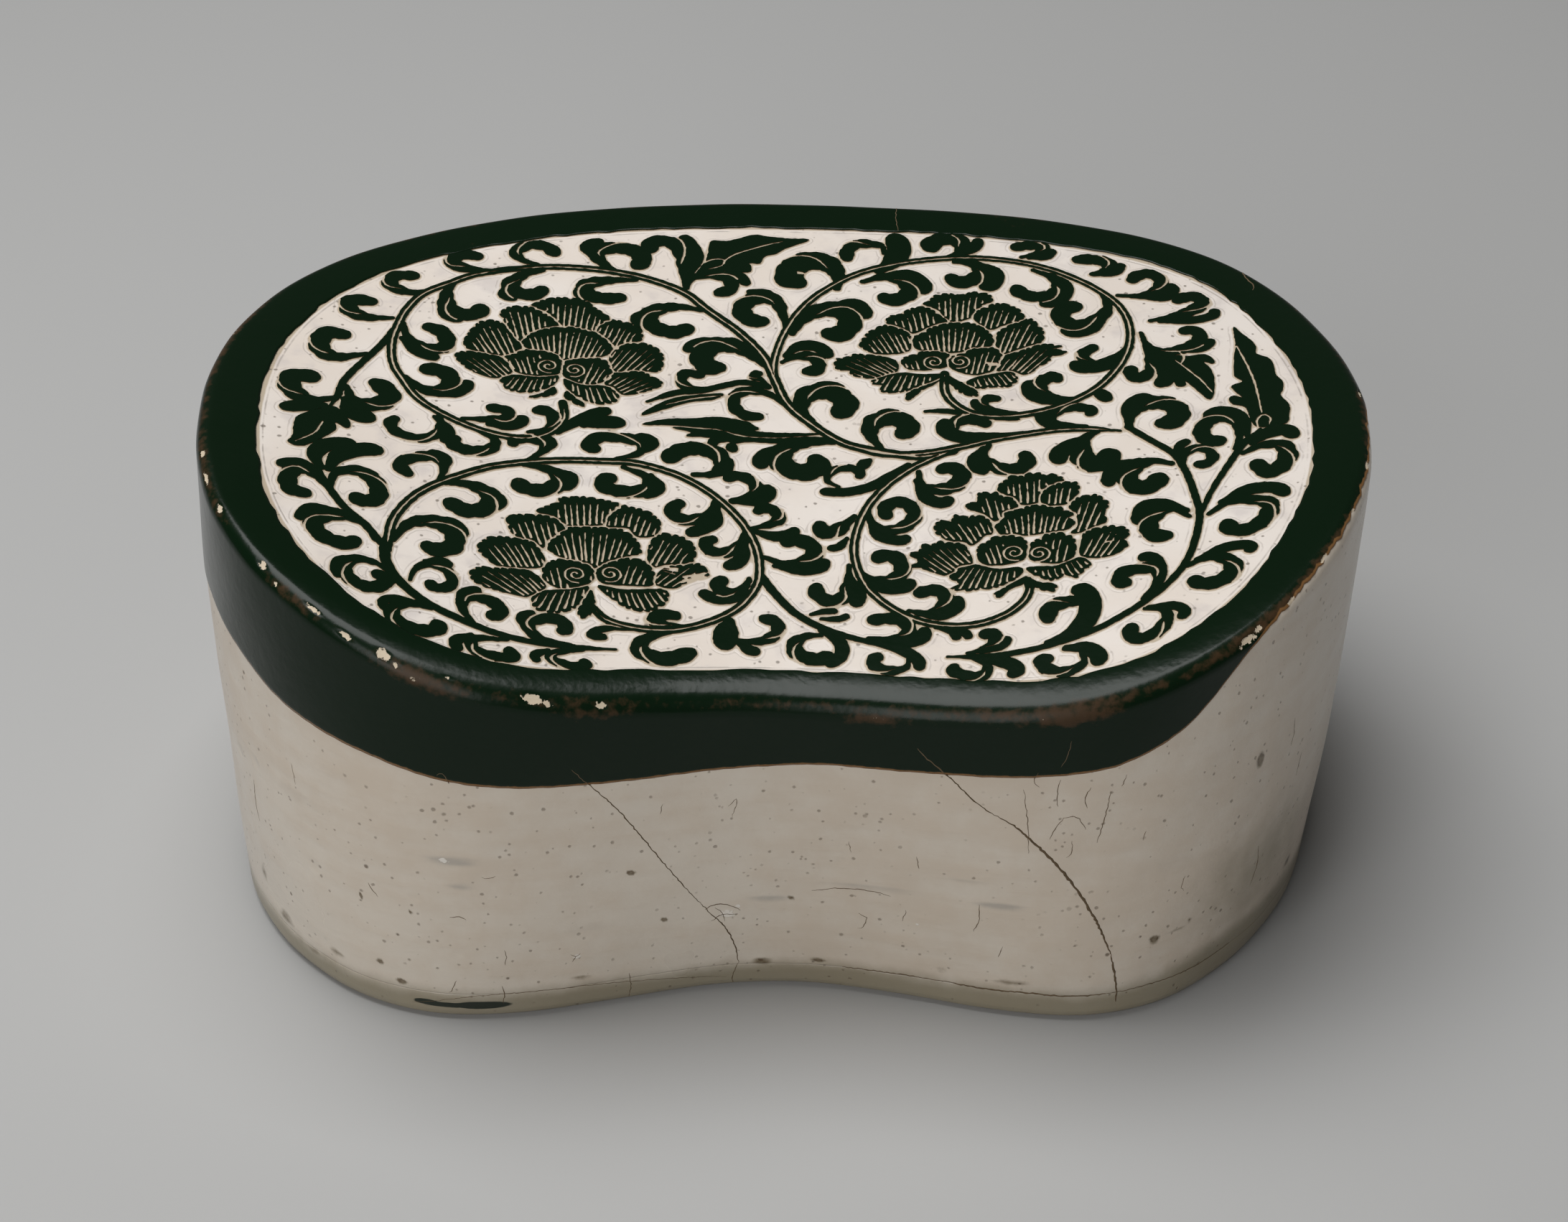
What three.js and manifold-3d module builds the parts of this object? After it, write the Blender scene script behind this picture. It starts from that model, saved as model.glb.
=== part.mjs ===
// Bean-shaped ceramic pillow, built hollow from clay slabs, in millimetres with +Z up.
// The origin is on the floor under the middle of the plan, the front waist faces -Y.
import * as THREE from 'three';
import Module from 'manifold-3d';
import { mergeVertices } from 'three/addons/utils/BufferGeometryUtils.js';

const wasm = await Module();
wasm.setup();

// Plan of the headrest
const length = 300;
const backReach = 105;
const frontReach = 136;
const waistDepth = 40;
const waistSpread = 83.8;
const backLean = 2.5;
const shoulderSwell = 12.2;
const shoulderTurn = THREE.MathUtils.degToRad(45.2);
const shoulderSpread = THREE.MathUtils.degToRad(24.1);
// Squareness of each quarter of the plan, where 2 is an ellipse
const squareness = { backLeft: 2.65, backRight: 2, frontLeft: 1.99, frontRight: 1.95 };

// Height of the dished headrest
const centreHeight = 116.3;
const backRise = 15;
const endRise = 13.3;
const sideTilt = -4.2;
const cornerDrop = 14.5;
const waistDip = 3.9;

// Foot of the wall, measured from the rim above it
const sideTaper = 4.9;
const frontTaper = 2.4;
const footWaistDepth = 12.1;
const footShift = -3.2;
const wallBelly = 1.5;
const footBevel = 2.5;

// Clay slabs and coils
const headrestThickness = 9;
const wallThickness = 8;
const baseThickness = 9;
const coilSize = 8;
const coilLip = 1;
const stripWidth = 18;
const stripThickness = 4;
const seatGap = 0.3;

// Dark slip border of the headrest
const slipThickness = 0.5;
const rimRadius = 3.8;
const borderSides = 15.3;
const borderFront = 10.3;
const borderBack = 14;

// Vent hole through the back wall
const ventDiameter = 6;
const ventHeight = 70;
const ventOffset = 20;

// Steps round the plan and through each section
const stations = 96;
const denseSteps = 1440;
const arcSteps = 4;
const wallSteps = 4;
const headrestRings = 6;

// One point of the plan outline, counter-clockwise from the right-hand end
function planPoint(turn, waist, shift) {
  const c = Math.cos(turn);
  const s = Math.sin(turn);
  const right = (1 + c) / 2;
  const back = (1 + s) / 2;
  const backPower = right * squareness.backRight + (1 - right) * squareness.backLeft;
  const frontPower = right * squareness.frontRight + (1 - right) * squareness.frontLeft;
  const power = 2 / (back * backPower + (1 - back) * frontPower);
  const reach = s >= 0 ? backReach : frontReach;
  let x = (length / 2) * Math.sign(c) * Math.abs(c) ** power;
  let y = reach * Math.sign(s) * Math.abs(s) ** power;
  y += waist * Math.exp(-((x / waistSpread) ** 2)) * Math.max(-s, 0);
  const apart = Math.atan2(Math.sin(turn - shoulderTurn), Math.cos(turn - shoulderTurn));
  const swell = shoulderSwell * Math.exp(-((apart / shoulderSpread) ** 2));
  const scale = 1 + swell / Math.hypot(x, y);
  x *= scale;
  y *= scale;
  x += backLean * Math.max(y, 0) / backReach + shift;
  return new THREE.Vector2(x, y);
}

// Height of the headrest over a point of the plan
function topHeight(p) {
  const end = p.x / (length / 2);
  const back = p.y / backReach;
  const front = THREE.MathUtils.clamp(-p.y / frontReach, 0, 1);
  const dip = waistDip * Math.exp(-((p.x / waistSpread) ** 2)) * front * front;
  const saddle = (endRise - cornerDrop * back) * end * end;
  return centreHeight + backRise * back + sideTilt * end + saddle - dip;
}

// Turns that step round the rim in equal lengths
function evenTurns(count) {
  const travelled = [0];
  for (let i = 1; i <= denseSteps; i++) {
    const from = planPoint((2 * Math.PI * (i - 1)) / denseSteps, waistDepth, 0);
    const to = planPoint((2 * Math.PI * i) / denseSteps, waistDepth, 0);
    travelled.push(travelled[i - 1] + from.distanceTo(to));
  }
  const turns = [];
  let step = 0;
  for (let k = 0; k < count; k++) {
    const wanted = (travelled[denseSteps] * k) / count;
    while (travelled[step + 1] < wanted) step += 1;
    const part = (wanted - travelled[step]) / (travelled[step + 1] - travelled[step]);
    turns.push((2 * Math.PI * (step + part)) / denseSteps);
  }
  return turns;
}

// Outward directions of a closed outline
function outwardOf(loop) {
  return loop.map((p, i) => {
    const before = loop[(i + loop.length - 1) % loop.length];
    const after = loop[(i + 1) % loop.length];
    return new THREE.Vector2(after.y - before.y, before.x - after.x).normalize();
  });
}

const turns = evenTurns(stations);
const rim = turns.map((turn) => planPoint(turn, waistDepth, 0));
const rimOut = outwardOf(rim);
const footRim = turns.map((turn) => planPoint(turn, waistDepth + footWaistDepth, footShift));
const footOut = outwardOf(footRim);
const foot = footRim.map((p, i) => {
  const front = Math.max(-footOut[i].y, 0) ** 2;
  const taper = sideTaper + (frontTaper - sideTaper) * front;
  return p.clone().addScaledVector(footOut[i], -taper);
});
const pitch = rim[0].distanceTo(rim[1]);
const leftEnd = rim.reduce((best, p, i) => (p.x < rim[best].x ? i : best), 0);

// Rim point, foot point and outward direction at a station, which may lie between two steps
function station(k) {
  const low = Math.floor(k);
  const part = k - low;
  const i = ((low % stations) + stations) % stations;
  const j = (i + 1) % stations;
  return {
    rim: rim[i].clone().lerp(rim[j], part),
    foot: foot[i].clone().lerp(foot[j], part),
    out: rimOut[i].clone().lerp(rimOut[j], part),
  };
}

// Point of the outer skin at a height, moved inwards by an inset
function skinPoint(k, z, inset) {
  const at = station(k);
  const rise = z / topHeight(at.rim);
  const p = at.foot.lerp(at.rim, rise);
  const belly = 4 * wallBelly * rise * (1 - rise);
  p.addScaledVector(at.out, belly - inset);
  return new THREE.Vector3(p.x, p.y, z);
}

// Point of the skin a drop below the headrest's top surface
function headPoint(k, inset, drop) {
  const at = station(k);
  const over = at.rim.addScaledVector(at.out, -inset);
  return skinPoint(k, topHeight(over) - drop, inset);
}

// Width of the dark border, between its values at the ends, front and back
function borderWidth(k) {
  const { y } = station(k).out;
  const across = y > 0 ? borderBack : borderFront;
  return borderSides + (across - borderSides) * y * y;
}

// Closed solid from points and triangles, with its faces turned outwards
function solidGeometry(points, triangles) {
  let volume = 0;
  for (const [a, b, c] of triangles) {
    volume += points[a].dot(points[b].clone().cross(points[c])) / 6;
  }
  const index = triangles.flatMap(([a, b, c]) => (volume > 0 ? [a, b, c] : [a, c, b]));
  const geometry = new THREE.BufferGeometry();
  const numbers = points.flatMap((p) => p.toArray());
  geometry.setAttribute('position', new THREE.Float32BufferAttribute(numbers, 3));
  geometry.setIndex(index);
  geometry.computeVertexNormals();
  return geometry;
}

// Skin between two neighbouring loops of equal count
function addBand(triangles, from, to, count) {
  for (let i = 0; i < count; i++) {
    const j = (i + 1) % count;
    triangles.push([from + i, from + j, to + j], [from + i, to + j, to + i]);
  }
}

// Solid through a row of like sections, closed on itself or capped at its two ends
function loftSections(sections, closed) {
  const count = sections[0].length;
  const triangles = [];
  for (let i = 0; i < sections.length - (closed ? 0 : 1); i++) {
    addBand(triangles, i * count, ((i + 1) % sections.length) * count, count);
  }
  if (!closed) {
    const last = (sections.length - 1) * count;
    for (let i = 0; i < count / 2 - 1; i++) {
      const a = i;
      const b = i + 1;
      const c = count - 2 - i;
      const d = count - 1 - i;
      triangles.push([a, c, b], [a, d, c]);
      triangles.push([last + a, last + b, last + c], [last + a, last + c, last + d]);
    }
  }
  return solidGeometry(sections.flat(), triangles);
}

// Solid through rings that close on a point at both ends
function loftPoles(first, rings, last) {
  const count = rings[0].length;
  const triangles = [];
  for (let i = 0; i < rings.length - 1; i++) {
    addBand(triangles, 1 + i * count, 1 + (i + 1) * count, count);
  }
  const end = 1 + rings.length * count;
  for (let i = 0; i < count; i++) {
    const j = (i + 1) % count;
    triangles.push([0, 1 + j, 1 + i]);
    triangles.push([end, end - count + i, end - count + j]);
  }
  return solidGeometry([first, ...rings.flat(), last], triangles);
}

// Ring of points round the whole plan
function ringOf(point) {
  return Array.from({ length: stations }, (_, k) => point(k));
}

// Inset and drop along the rounded rim, from its side to its top
function roundedRim(depth) {
  const radius = rimRadius - depth;
  return Array.from({ length: arcSteps + 1 }, (_, i) => {
    const angle = (i / arcSteps) * (Math.PI / 2);
    return [rimRadius - radius * Math.cos(angle), rimRadius - radius * Math.sin(angle)];
  });
}

// Seats of the slabs, where a drop is measured down from the headrest's top surface
const slipBuildUp = slipThickness + seatGap;
const headrestUnderside = slipBuildUp + headrestThickness;
const wallTopDrop = headrestUnderside + seatGap;
const wallFoot = baseThickness + seatGap;

// Dished slab of the headrest, under the slip
function headrestSlab() {
  const hub = new THREE.Vector2(0, 0);
  const ringAt = (edge, share, drop) =>
    ringOf((k) => {
      const p = edge(k);
      const flat = hub.clone().lerp(new THREE.Vector2(p.x, p.y), share);
      return new THREE.Vector3(flat.x, flat.y, topHeight(flat) - drop);
    });
  const underEdge = (k) => headPoint(k, slipBuildUp, headrestUnderside);
  const topEdge = (k) => headPoint(k, rimRadius, slipBuildUp);
  const rings = [];
  for (let i = 1; i < headrestRings; i++) {
    rings.push(ringAt(underEdge, i / headrestRings, headrestUnderside));
  }
  rings.push(ringOf(underEdge));
  for (const [inset, drop] of roundedRim(slipBuildUp)) {
    rings.push(ringOf((k) => headPoint(k, inset, drop)));
  }
  for (let i = headrestRings - 1; i > 0; i--) {
    rings.push(ringAt(topEdge, i / headrestRings, slipBuildUp));
  }
  const top = topHeight(hub);
  return loftPoles(
    new THREE.Vector3(0, 0, top - headrestUnderside),
    rings,
    new THREE.Vector3(0, 0, top - slipBuildUp),
  );
}

// Dark slip that covers the border, the rounded rim and the edge of the headrest slab
function darkSlipBorder() {
  const outer = roundedRim(0);
  const inner = roundedRim(slipThickness).reverse();
  return loftSections(
    ringOf((k) => {
      const border = borderWidth(k);
      const profile = [[0, headrestUnderside], ...outer, [border, 0], [border, slipThickness], ...inner];
      profile.push([slipThickness, headrestUnderside]);
      return profile.map(([inset, drop]) => headPoint(k, inset, drop));
    }),
    true,
  );
}

// Upright line of points on the wall, from a height up to a drop below the headrest's top
function uprightFace(k, inset, bottom, drop) {
  const top = headPoint(k, inset, drop).z;
  return Array.from({ length: wallSteps + 1 }, (_, i) =>
    skinPoint(k, THREE.MathUtils.lerp(bottom, top, i / wallSteps), inset));
}

// Upright section of the wall, outer face first
function wallSection(k) {
  const face = (inset) => uprightFace(k, inset, wallFoot, wallTopDrop);
  return [...face(0), ...face(wallThickness).reverse()];
}

// Half of the wall between the two end seams
function wallHalf(from, to) {
  const trim = seatGap / 2 / pitch;
  const steps = [from + trim];
  for (let k = from + 1; k < to; k++) steps.push(k);
  steps.push(to - trim);
  return loftSections(steps.map(wallSection), false);
}

function toManifold(geometry) {
  const bare = new THREE.BufferGeometry();
  bare.setAttribute('position', geometry.getAttribute('position').clone());
  bare.setIndex(geometry.getIndex().clone());
  const merged = mergeVertices(bare, 1e-5);
  return new wasm.Manifold(new wasm.Mesh({
    numProp: 3,
    vertProperties: new Float32Array(merged.getAttribute('position').array),
    triVerts: new Uint32Array(merged.getIndex().array),
  }));
}

function fromManifold(manifold) {
  const mesh = manifold.getMesh();
  const geometry = new THREE.BufferGeometry();
  geometry.setAttribute('position', new THREE.BufferAttribute(mesh.vertProperties, 3));
  geometry.setIndex(new THREE.BufferAttribute(mesh.triVerts, 1));
  geometry.computeVertexNormals();
  return geometry;
}

// Back wall with the hole that lets air out in the kiln
function backWall() {
  const wall = wallHalf(0, leftEnd);
  const middle = rim.findIndex((p, i) => i < leftEnd && p.x < ventOffset);
  const at = skinPoint(middle, ventHeight, wallThickness / 2);
  const drill = new THREE.CylinderGeometry(ventDiameter / 2, ventDiameter / 2, 3 * wallThickness, 24);
  drill.translate(at.x, at.y, at.z);
  return fromManifold(toManifold(wall).subtract(toManifold(drill)));
}

// Flat floor slab, its lower edge cut back all round
function baseSlab() {
  const bottom = ringOf((k) => skinPoint(k, 0, footBevel));
  const bevelTop = ringOf((k) => skinPoint(k, footBevel, 0));
  const top = ringOf((k) => skinPoint(k, baseThickness, 0));
  const topMiddle = new THREE.Vector3(0, 0, baseThickness);
  return loftPoles(new THREE.Vector3(0, 0, 0), [bottom, bevelTop, top], topMiddle);
}

// Thumbed fillet of clay in the corner between the wall and a slab, as inset and rise
function coilProfile() {
  const near = wallThickness + seatGap;
  const far = near + coilSize;
  const radius = coilSize - coilLip;
  const hollow = Array.from({ length: arcSteps + 1 }, (_, i) => {
    const angle = (i / arcSteps) * (Math.PI / 2);
    return [far - radius * Math.sin(angle), coilSize - radius * Math.cos(angle)];
  });
  return [[near, 0], [far, 0], ...hollow, [near, coilSize]];
}

function lowerLutingCoil() {
  const section = (k) => coilProfile().map(([inset, rise]) => skinPoint(k, wallFoot + rise, inset));
  return loftSections(ringOf(section), true);
}

function upperLutingCoil() {
  const section = (k) => coilProfile().map(([inset, rise]) => headPoint(k, inset, wallTopDrop + rise));
  return loftSections(ringOf(section), true);
}

// Upright strip of clay pressed over a seam inside the wall, between the two coils
function seamStrip(middle) {
  const reach = stripWidth / 2 / pitch;
  const outer = wallThickness + seatGap;
  const clearOfCoil = coilSize + seatGap;
  const section = (k) => {
    const face = (inset) => uprightFace(k, inset, wallFoot + clearOfCoil, wallTopDrop + clearOfCoil);
    return [...face(outer), ...face(outer + stripThickness).reverse()];
  };
  const steps = [-1, -0.5, 0, 0.5, 1].map((share) => middle + share * reach);
  return loftSections(steps.map(section), false);
}

const stoneware = { color: 0xb9a98c, roughness: 0.85, metalness: 0 };
const whiteSlip = { color: 0xd9d0c2, roughness: 0.35, metalness: 0 };
const darkSlip = { color: 0x1b2620, roughness: 0.2, metalness: 0 };

const pillow = new THREE.Group();

function addPiece(name, geometry, finish) {
  const mesh = new THREE.Mesh(geometry, new THREE.MeshStandardMaterial(finish));
  mesh.name = name;
  pillow.add(mesh);
}

addPiece('base_slab', baseSlab(), stoneware);
addPiece('lower_luting_coil', lowerLutingCoil(), stoneware);
addPiece('back_wall', backWall(), whiteSlip);
addPiece('front_wall', wallHalf(leftEnd, stations), whiteSlip);
addPiece('left_seam_strip', seamStrip(leftEnd), stoneware);
addPiece('right_seam_strip', seamStrip(0), stoneware);
addPiece('upper_luting_coil', upperLutingCoil(), stoneware);
addPiece('headrest_slab', headrestSlab(), whiteSlip);
addPiece('dark_slip_border', darkSlipBorder(), darkSlip);

// The plan is centred over the origin
const middle = new THREE.Box3().setFromObject(pillow).getCenter(new THREE.Vector3());
pillow.position.set(-middle.x, -middle.y, 0);

export default pillow;
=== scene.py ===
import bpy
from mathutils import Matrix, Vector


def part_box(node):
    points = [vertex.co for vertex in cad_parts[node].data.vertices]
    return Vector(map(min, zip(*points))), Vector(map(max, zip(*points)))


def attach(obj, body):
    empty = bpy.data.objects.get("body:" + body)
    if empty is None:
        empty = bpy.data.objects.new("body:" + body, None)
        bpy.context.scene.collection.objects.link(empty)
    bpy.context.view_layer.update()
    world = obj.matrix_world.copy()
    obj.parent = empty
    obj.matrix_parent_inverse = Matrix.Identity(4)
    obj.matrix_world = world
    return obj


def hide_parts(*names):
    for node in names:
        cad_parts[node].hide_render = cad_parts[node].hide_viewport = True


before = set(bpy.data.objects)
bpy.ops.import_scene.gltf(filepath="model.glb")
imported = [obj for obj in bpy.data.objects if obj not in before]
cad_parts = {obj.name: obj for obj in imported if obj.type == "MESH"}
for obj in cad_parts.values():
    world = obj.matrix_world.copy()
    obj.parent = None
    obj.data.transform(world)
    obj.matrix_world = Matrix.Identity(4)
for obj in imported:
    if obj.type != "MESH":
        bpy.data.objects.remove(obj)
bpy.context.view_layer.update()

import math
import random

import bpy
import numpy as np
from mathutils import Vector, geometry

# A hollow bean-shaped pillow of slip-coated stoneware, with a peony scroll cut through the dark slip
# Sizes are millimetres until a mesh is made
mm = 0.001
random.seed(7)

form = {
    "length": 300,
    "backReach": 105,
    "frontReach": 136,
    "waistDepth": 40,
    "waistSpread": 83.8,
    "backLean": 2.5,
    "shoulderSwell": 12.2,
    "shoulderTurn": math.radians(45.2),
    "shoulderSpread": math.radians(24.1),
    "squareBackLeft": 2.65,
    "squareBackRight": 2.0,
    "squareFrontLeft": 1.99,
    "squareFrontRight": 1.95,
    "centreHeight": 116.3,
    "backRise": 15,
    "endRise": 13.3,
    "sideTilt": -4.2,
    "cornerDrop": 14.5,
    "waistDip": 3.9,
    "sideTaper": 4.9,
    "frontTaper": 2.4,
    "footWaistDepth": 12.1,
    "footShift": -3.2,
    "wallBelly": 1.5,
    "footBevel": 2.5,
    "baseThickness": 9,
    "headrestThickness": 9,
    "wallThickness": 8,
    "rimRadius": 3.8,
    "rimSoftness": 1.8,
    "rimSoftReach": 11,
    "softAtSides": 0.35,
    "softToFront": 0.65,
    "softAtBack": 0.2,
    "borderSides": 15.3,
    "borderFront": 10.3,
    "borderBack": 14,
}


def planPoints(turn, waist, shift):
    # the bean outline, one point for each turn, as the clay slab was cut
    c = np.cos(turn)
    s = np.sin(turn)
    right = (1 + c) / 2
    back = (1 + s) / 2
    backPower = right * form["squareBackRight"] + (1 - right) * form["squareBackLeft"]
    frontPower = right * form["squareFrontRight"] + (1 - right) * form["squareFrontLeft"]
    power = 2 / (back * backPower + (1 - back) * frontPower)
    reach = np.where(s >= 0, form["backReach"], form["frontReach"])
    x = form["length"] / 2 * np.sign(c) * np.abs(c) ** power
    y = reach * np.sign(s) * np.abs(s) ** power
    y = y + waist * np.exp(-(x / form["waistSpread"]) ** 2) * np.maximum(-s, 0)
    apart = np.arctan2(np.sin(turn - form["shoulderTurn"]), np.cos(turn - form["shoulderTurn"]))
    swell = form["shoulderSwell"] * np.exp(-(apart / form["shoulderSpread"]) ** 2)
    scale = 1 + swell / np.hypot(x, y)
    x = x * scale
    y = y * scale
    x = x + form["backLean"] * np.maximum(y, 0) / form["backReach"] + shift
    return np.stack([x, y], 1)


def outwardOf(loop):
    # directions square to a closed loop, pointing out of it
    along = np.roll(loop, -1, 0) - np.roll(loop, 1, 0)
    out = np.stack([along[:, 1], -along[:, 0]], 1)
    return out / np.linalg.norm(out, axis=1)[:, None]


# Dense outlines of rim and foot, in equal steps along the rim
roughSteps = 5760
rough = np.linspace(0, 2 * math.pi, roughSteps + 1)
walk = planPoints(rough, form["waistDepth"], 0)
travelled = np.concatenate([[0], np.cumsum(np.linalg.norm(np.diff(walk, axis=0), axis=1))])
rimLength = travelled[-1]
denseCount = 2160
turns = np.interp(np.arange(denseCount) / denseCount * rimLength, travelled, rough)
rim = planPoints(turns, form["waistDepth"], 0)
rimOut = outwardOf(rim)
footRim = planPoints(turns, form["waistDepth"] + form["footWaistDepth"], form["footShift"])
footOut = outwardOf(footRim)
footTaper = form["sideTaper"] + (form["frontTaper"] - form["sideTaper"]) * np.maximum(-footOut[:, 1], 0) ** 2
foot = footRim - footOut * footTaper[:, None]

# The plan is drawn about its own centre, the frame's boxes say where it stands
borderLow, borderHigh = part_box("dark_slip_border")
planMiddle = (rim.min(0) + rim.max(0)) / 2
boxMiddle = np.array([borderLow.x + borderHigh.x, borderLow.y + borderHigh.y]) / 2 / mm
planShift = planMiddle - boxMiddle


def topHeight(x, y):
    # height of the dished headrest over a plan point
    end = x / (form["length"] / 2)
    back = y / form["backReach"]
    front = np.clip(-y / form["frontReach"], 0, 1)
    dip = form["waistDip"] * np.exp(-(x / form["waistSpread"]) ** 2) * front * front
    saddle = (form["endRise"] - form["cornerDrop"] * back) * end * end
    return form["centreHeight"] + form["backRise"] * back + form["sideTilt"] * end + saddle - dip


def around(values, share):
    # value of a dense ring at a share of the way round, 0 to 1
    place = np.asarray(share) % 1 * denseCount
    low = np.floor(place).astype(int) % denseCount
    part = place - np.floor(place)
    high = (low + 1) % denseCount
    if values.ndim > 1:
        part = part[:, None]
    return values[low] * (1 - part) + values[high] * part


# Slow swells of a wall smoothed by hand: waves round, lean for each mm up, start, height in mm
swells = [(3, 0.035, 0.4, 0.20), (7, -0.05, 2.1, 0.15), (13, 0.09, 0, 0.14), (31, -0.16, 1.2, 0.06)]


def unevenness(share, z):
    turn = 2 * math.pi * share
    return sum(height * np.sin(waves * turn + lean * z + start) for waves, lean, start, height in swells)


def skinPoints(share, z, inset):
    # points of the outer skin at a height, moved inwards by an inset
    z = z + np.zeros_like(share)
    at = around(rim, share)
    rise = z / topHeight(at[:, 0], at[:, 1])
    p = around(foot, share) * (1 - rise)[:, None] + at * rise[:, None]
    belly = 4 * form["wallBelly"] * rise * (1 - rise)
    p = p + around(rimOut, share) * (belly - inset + unevenness(share, z))[:, None]
    return np.column_stack([p, z])


def headPoints(share, inset, drop):
    # points under the headrest's surface, which slopes off softly before its rim
    inset = inset + np.zeros_like(share)
    over = around(rim, share) - around(rimOut, share) * inset[:, None]
    ahead = form["softAtSides"] - form["softToFront"] * around(rimOut, share)[:, 1]
    ahead = np.clip(ahead, form["softAtBack"], 1)
    soft = form["rimSoftness"] * ahead * np.clip(1 - inset / form["rimSoftReach"], 0, 1) ** 2
    return skinPoints(share, topHeight(over[:, 0], over[:, 1]) - soft - drop, inset)


def coatPoints(share, along, depth):
    # over the headrest, round the rim and down the side, in mm from where the rim starts to curve
    r = form["rimRadius"]
    along = along + np.zeros_like(share)
    a = np.clip(along / r, 0, math.pi / 2)
    flat = np.maximum(-along, 0)
    side = np.maximum(along - r * math.pi / 2, 0)
    inset = r - (r - depth) * np.sin(a) + flat
    drop = r - (r - depth) * np.cos(a) + side
    return headPoints(share, inset, drop)


def ringNoise(share, counts, seedTurn):
    # an even mix of waves round the pillow, from -1 to 1
    value = np.zeros_like(share)
    for k, count in enumerate(counts):
        value += np.sin(2 * math.pi * count * share + seedTurn + 2.3 * k) / len(counts)
    return value


def mmFrom(share, place):
    # millimetres round the rim from a place to each share, the shorter way
    return ((share - place + 0.5) % 1 - 0.5) * rimLength


def toFrame(points):
    # plan millimetres to frame metres
    placed = np.array(points, float)
    placed[:, :2] -= planShift
    return placed * mm


def onlySelect(obj):
    bpy.ops.object.select_all(action="DESELECT")
    obj.select_set(True)
    bpy.context.view_layer.objects.active = obj


def editAll(obj):
    # edit mode with the whole mesh selected
    onlySelect(obj)
    bpy.ops.object.mode_set(mode="EDIT")
    bpy.ops.mesh.select_all(action="SELECT")


def endEdit():
    # every face turned outwards, then object mode again
    bpy.ops.mesh.select_all(action="SELECT")
    bpy.ops.mesh.normals_make_consistent(inside=False)
    bpy.ops.object.mode_set(mode="OBJECT")


def setPoints(obj, points):
    obj.data.vertices.foreach_set("co", np.asarray(points, np.float32).ravel())
    obj.data.update()


def getPoints(obj):
    coords = np.zeros(len(obj.data.vertices) * 3)
    obj.data.vertices.foreach_get("co", coords)
    return coords.reshape(-1, 3)


def setAttribute(obj, name, values):
    layer = obj.data.attributes.new(name, "FLOAT", "POINT")
    layer.data.foreach_set("value", np.asarray(values, np.float32))


def newGrid(name, across, along):
    # a flat grid, its corners at -1 and 1
    bpy.ops.object.select_all(action="DESELECT")
    bpy.ops.mesh.primitive_grid_add(x_subdivisions=across, y_subdivisions=along, size=2)
    sheet = bpy.context.object
    sheet.name = name
    sheet.data.name = name
    return sheet


joinWithin = 0.01


def wrappedGrid(name, across, along, place, seen):
    # a grid laid round the pillow by its rows and columns, joined where its ends meet
    sheet = newGrid(name, across, along)
    flat = (getPoints(sheet) + 1) / 2
    setPoints(sheet, toFrame(place(flat[:, 0], flat[:, 1])))
    for key, values in seen.items():
        setAttribute(sheet, key, values)
    editAll(sheet)
    bpy.ops.mesh.remove_doubles(threshold=joinWithin * mm)
    endEdit()
    bpy.ops.object.shade_smooth()
    return sheet


def applyModifier(obj, kind, **settings):
    onlySelect(obj)
    modifier = obj.modifiers.new(kind.title(), kind)
    for key, value in settings.items():
        setattr(modifier, key, value)
    bpy.ops.object.modifier_apply(modifier=modifier.name)


print("outline ready", round(rimLength), "mm round")


class Field:
    # wraps a shader socket, so that its maths is written as a sum
    def __init__(self, tree, socket):
        self.tree = tree
        self.socket = socket

    def math(self, operation, other=None, flip=False):
        node = self.tree.nodes.new("ShaderNodeMath")
        node.operation = operation
        inputs = [other, self] if flip else [self, other]
        for slot, value in zip(node.inputs, inputs):
            if isinstance(value, Field):
                self.tree.links.new(value.socket, slot)
            elif value is not None:
                slot.default_value = value
        return Field(self.tree, node.outputs[0])

    def __add__(self, other):
        return self.math("ADD", other)

    def __sub__(self, other):
        return self.math("SUBTRACT", other)

    def __rsub__(self, other):
        return self.math("SUBTRACT", other, flip=True)

    def __mul__(self, other):
        return self.math("MULTIPLY", other)

    __radd__ = __add__
    __rmul__ = __mul__

    def least(self, other):
        return self.math("MINIMUM", other)

    def most(self, other):
        return self.math("MAXIMUM", other)

    def band(self, low, high):
        # 0 below low, 1 above high, smooth between
        node = self.tree.nodes.new("ShaderNodeMapRange")
        node.interpolation_type = "SMOOTHSTEP"
        self.tree.links.new(self.socket, node.inputs["Value"])
        node.inputs["From Min"].default_value = low
        node.inputs["From Max"].default_value = high
        return Field(self.tree, node.outputs["Result"])


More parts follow.
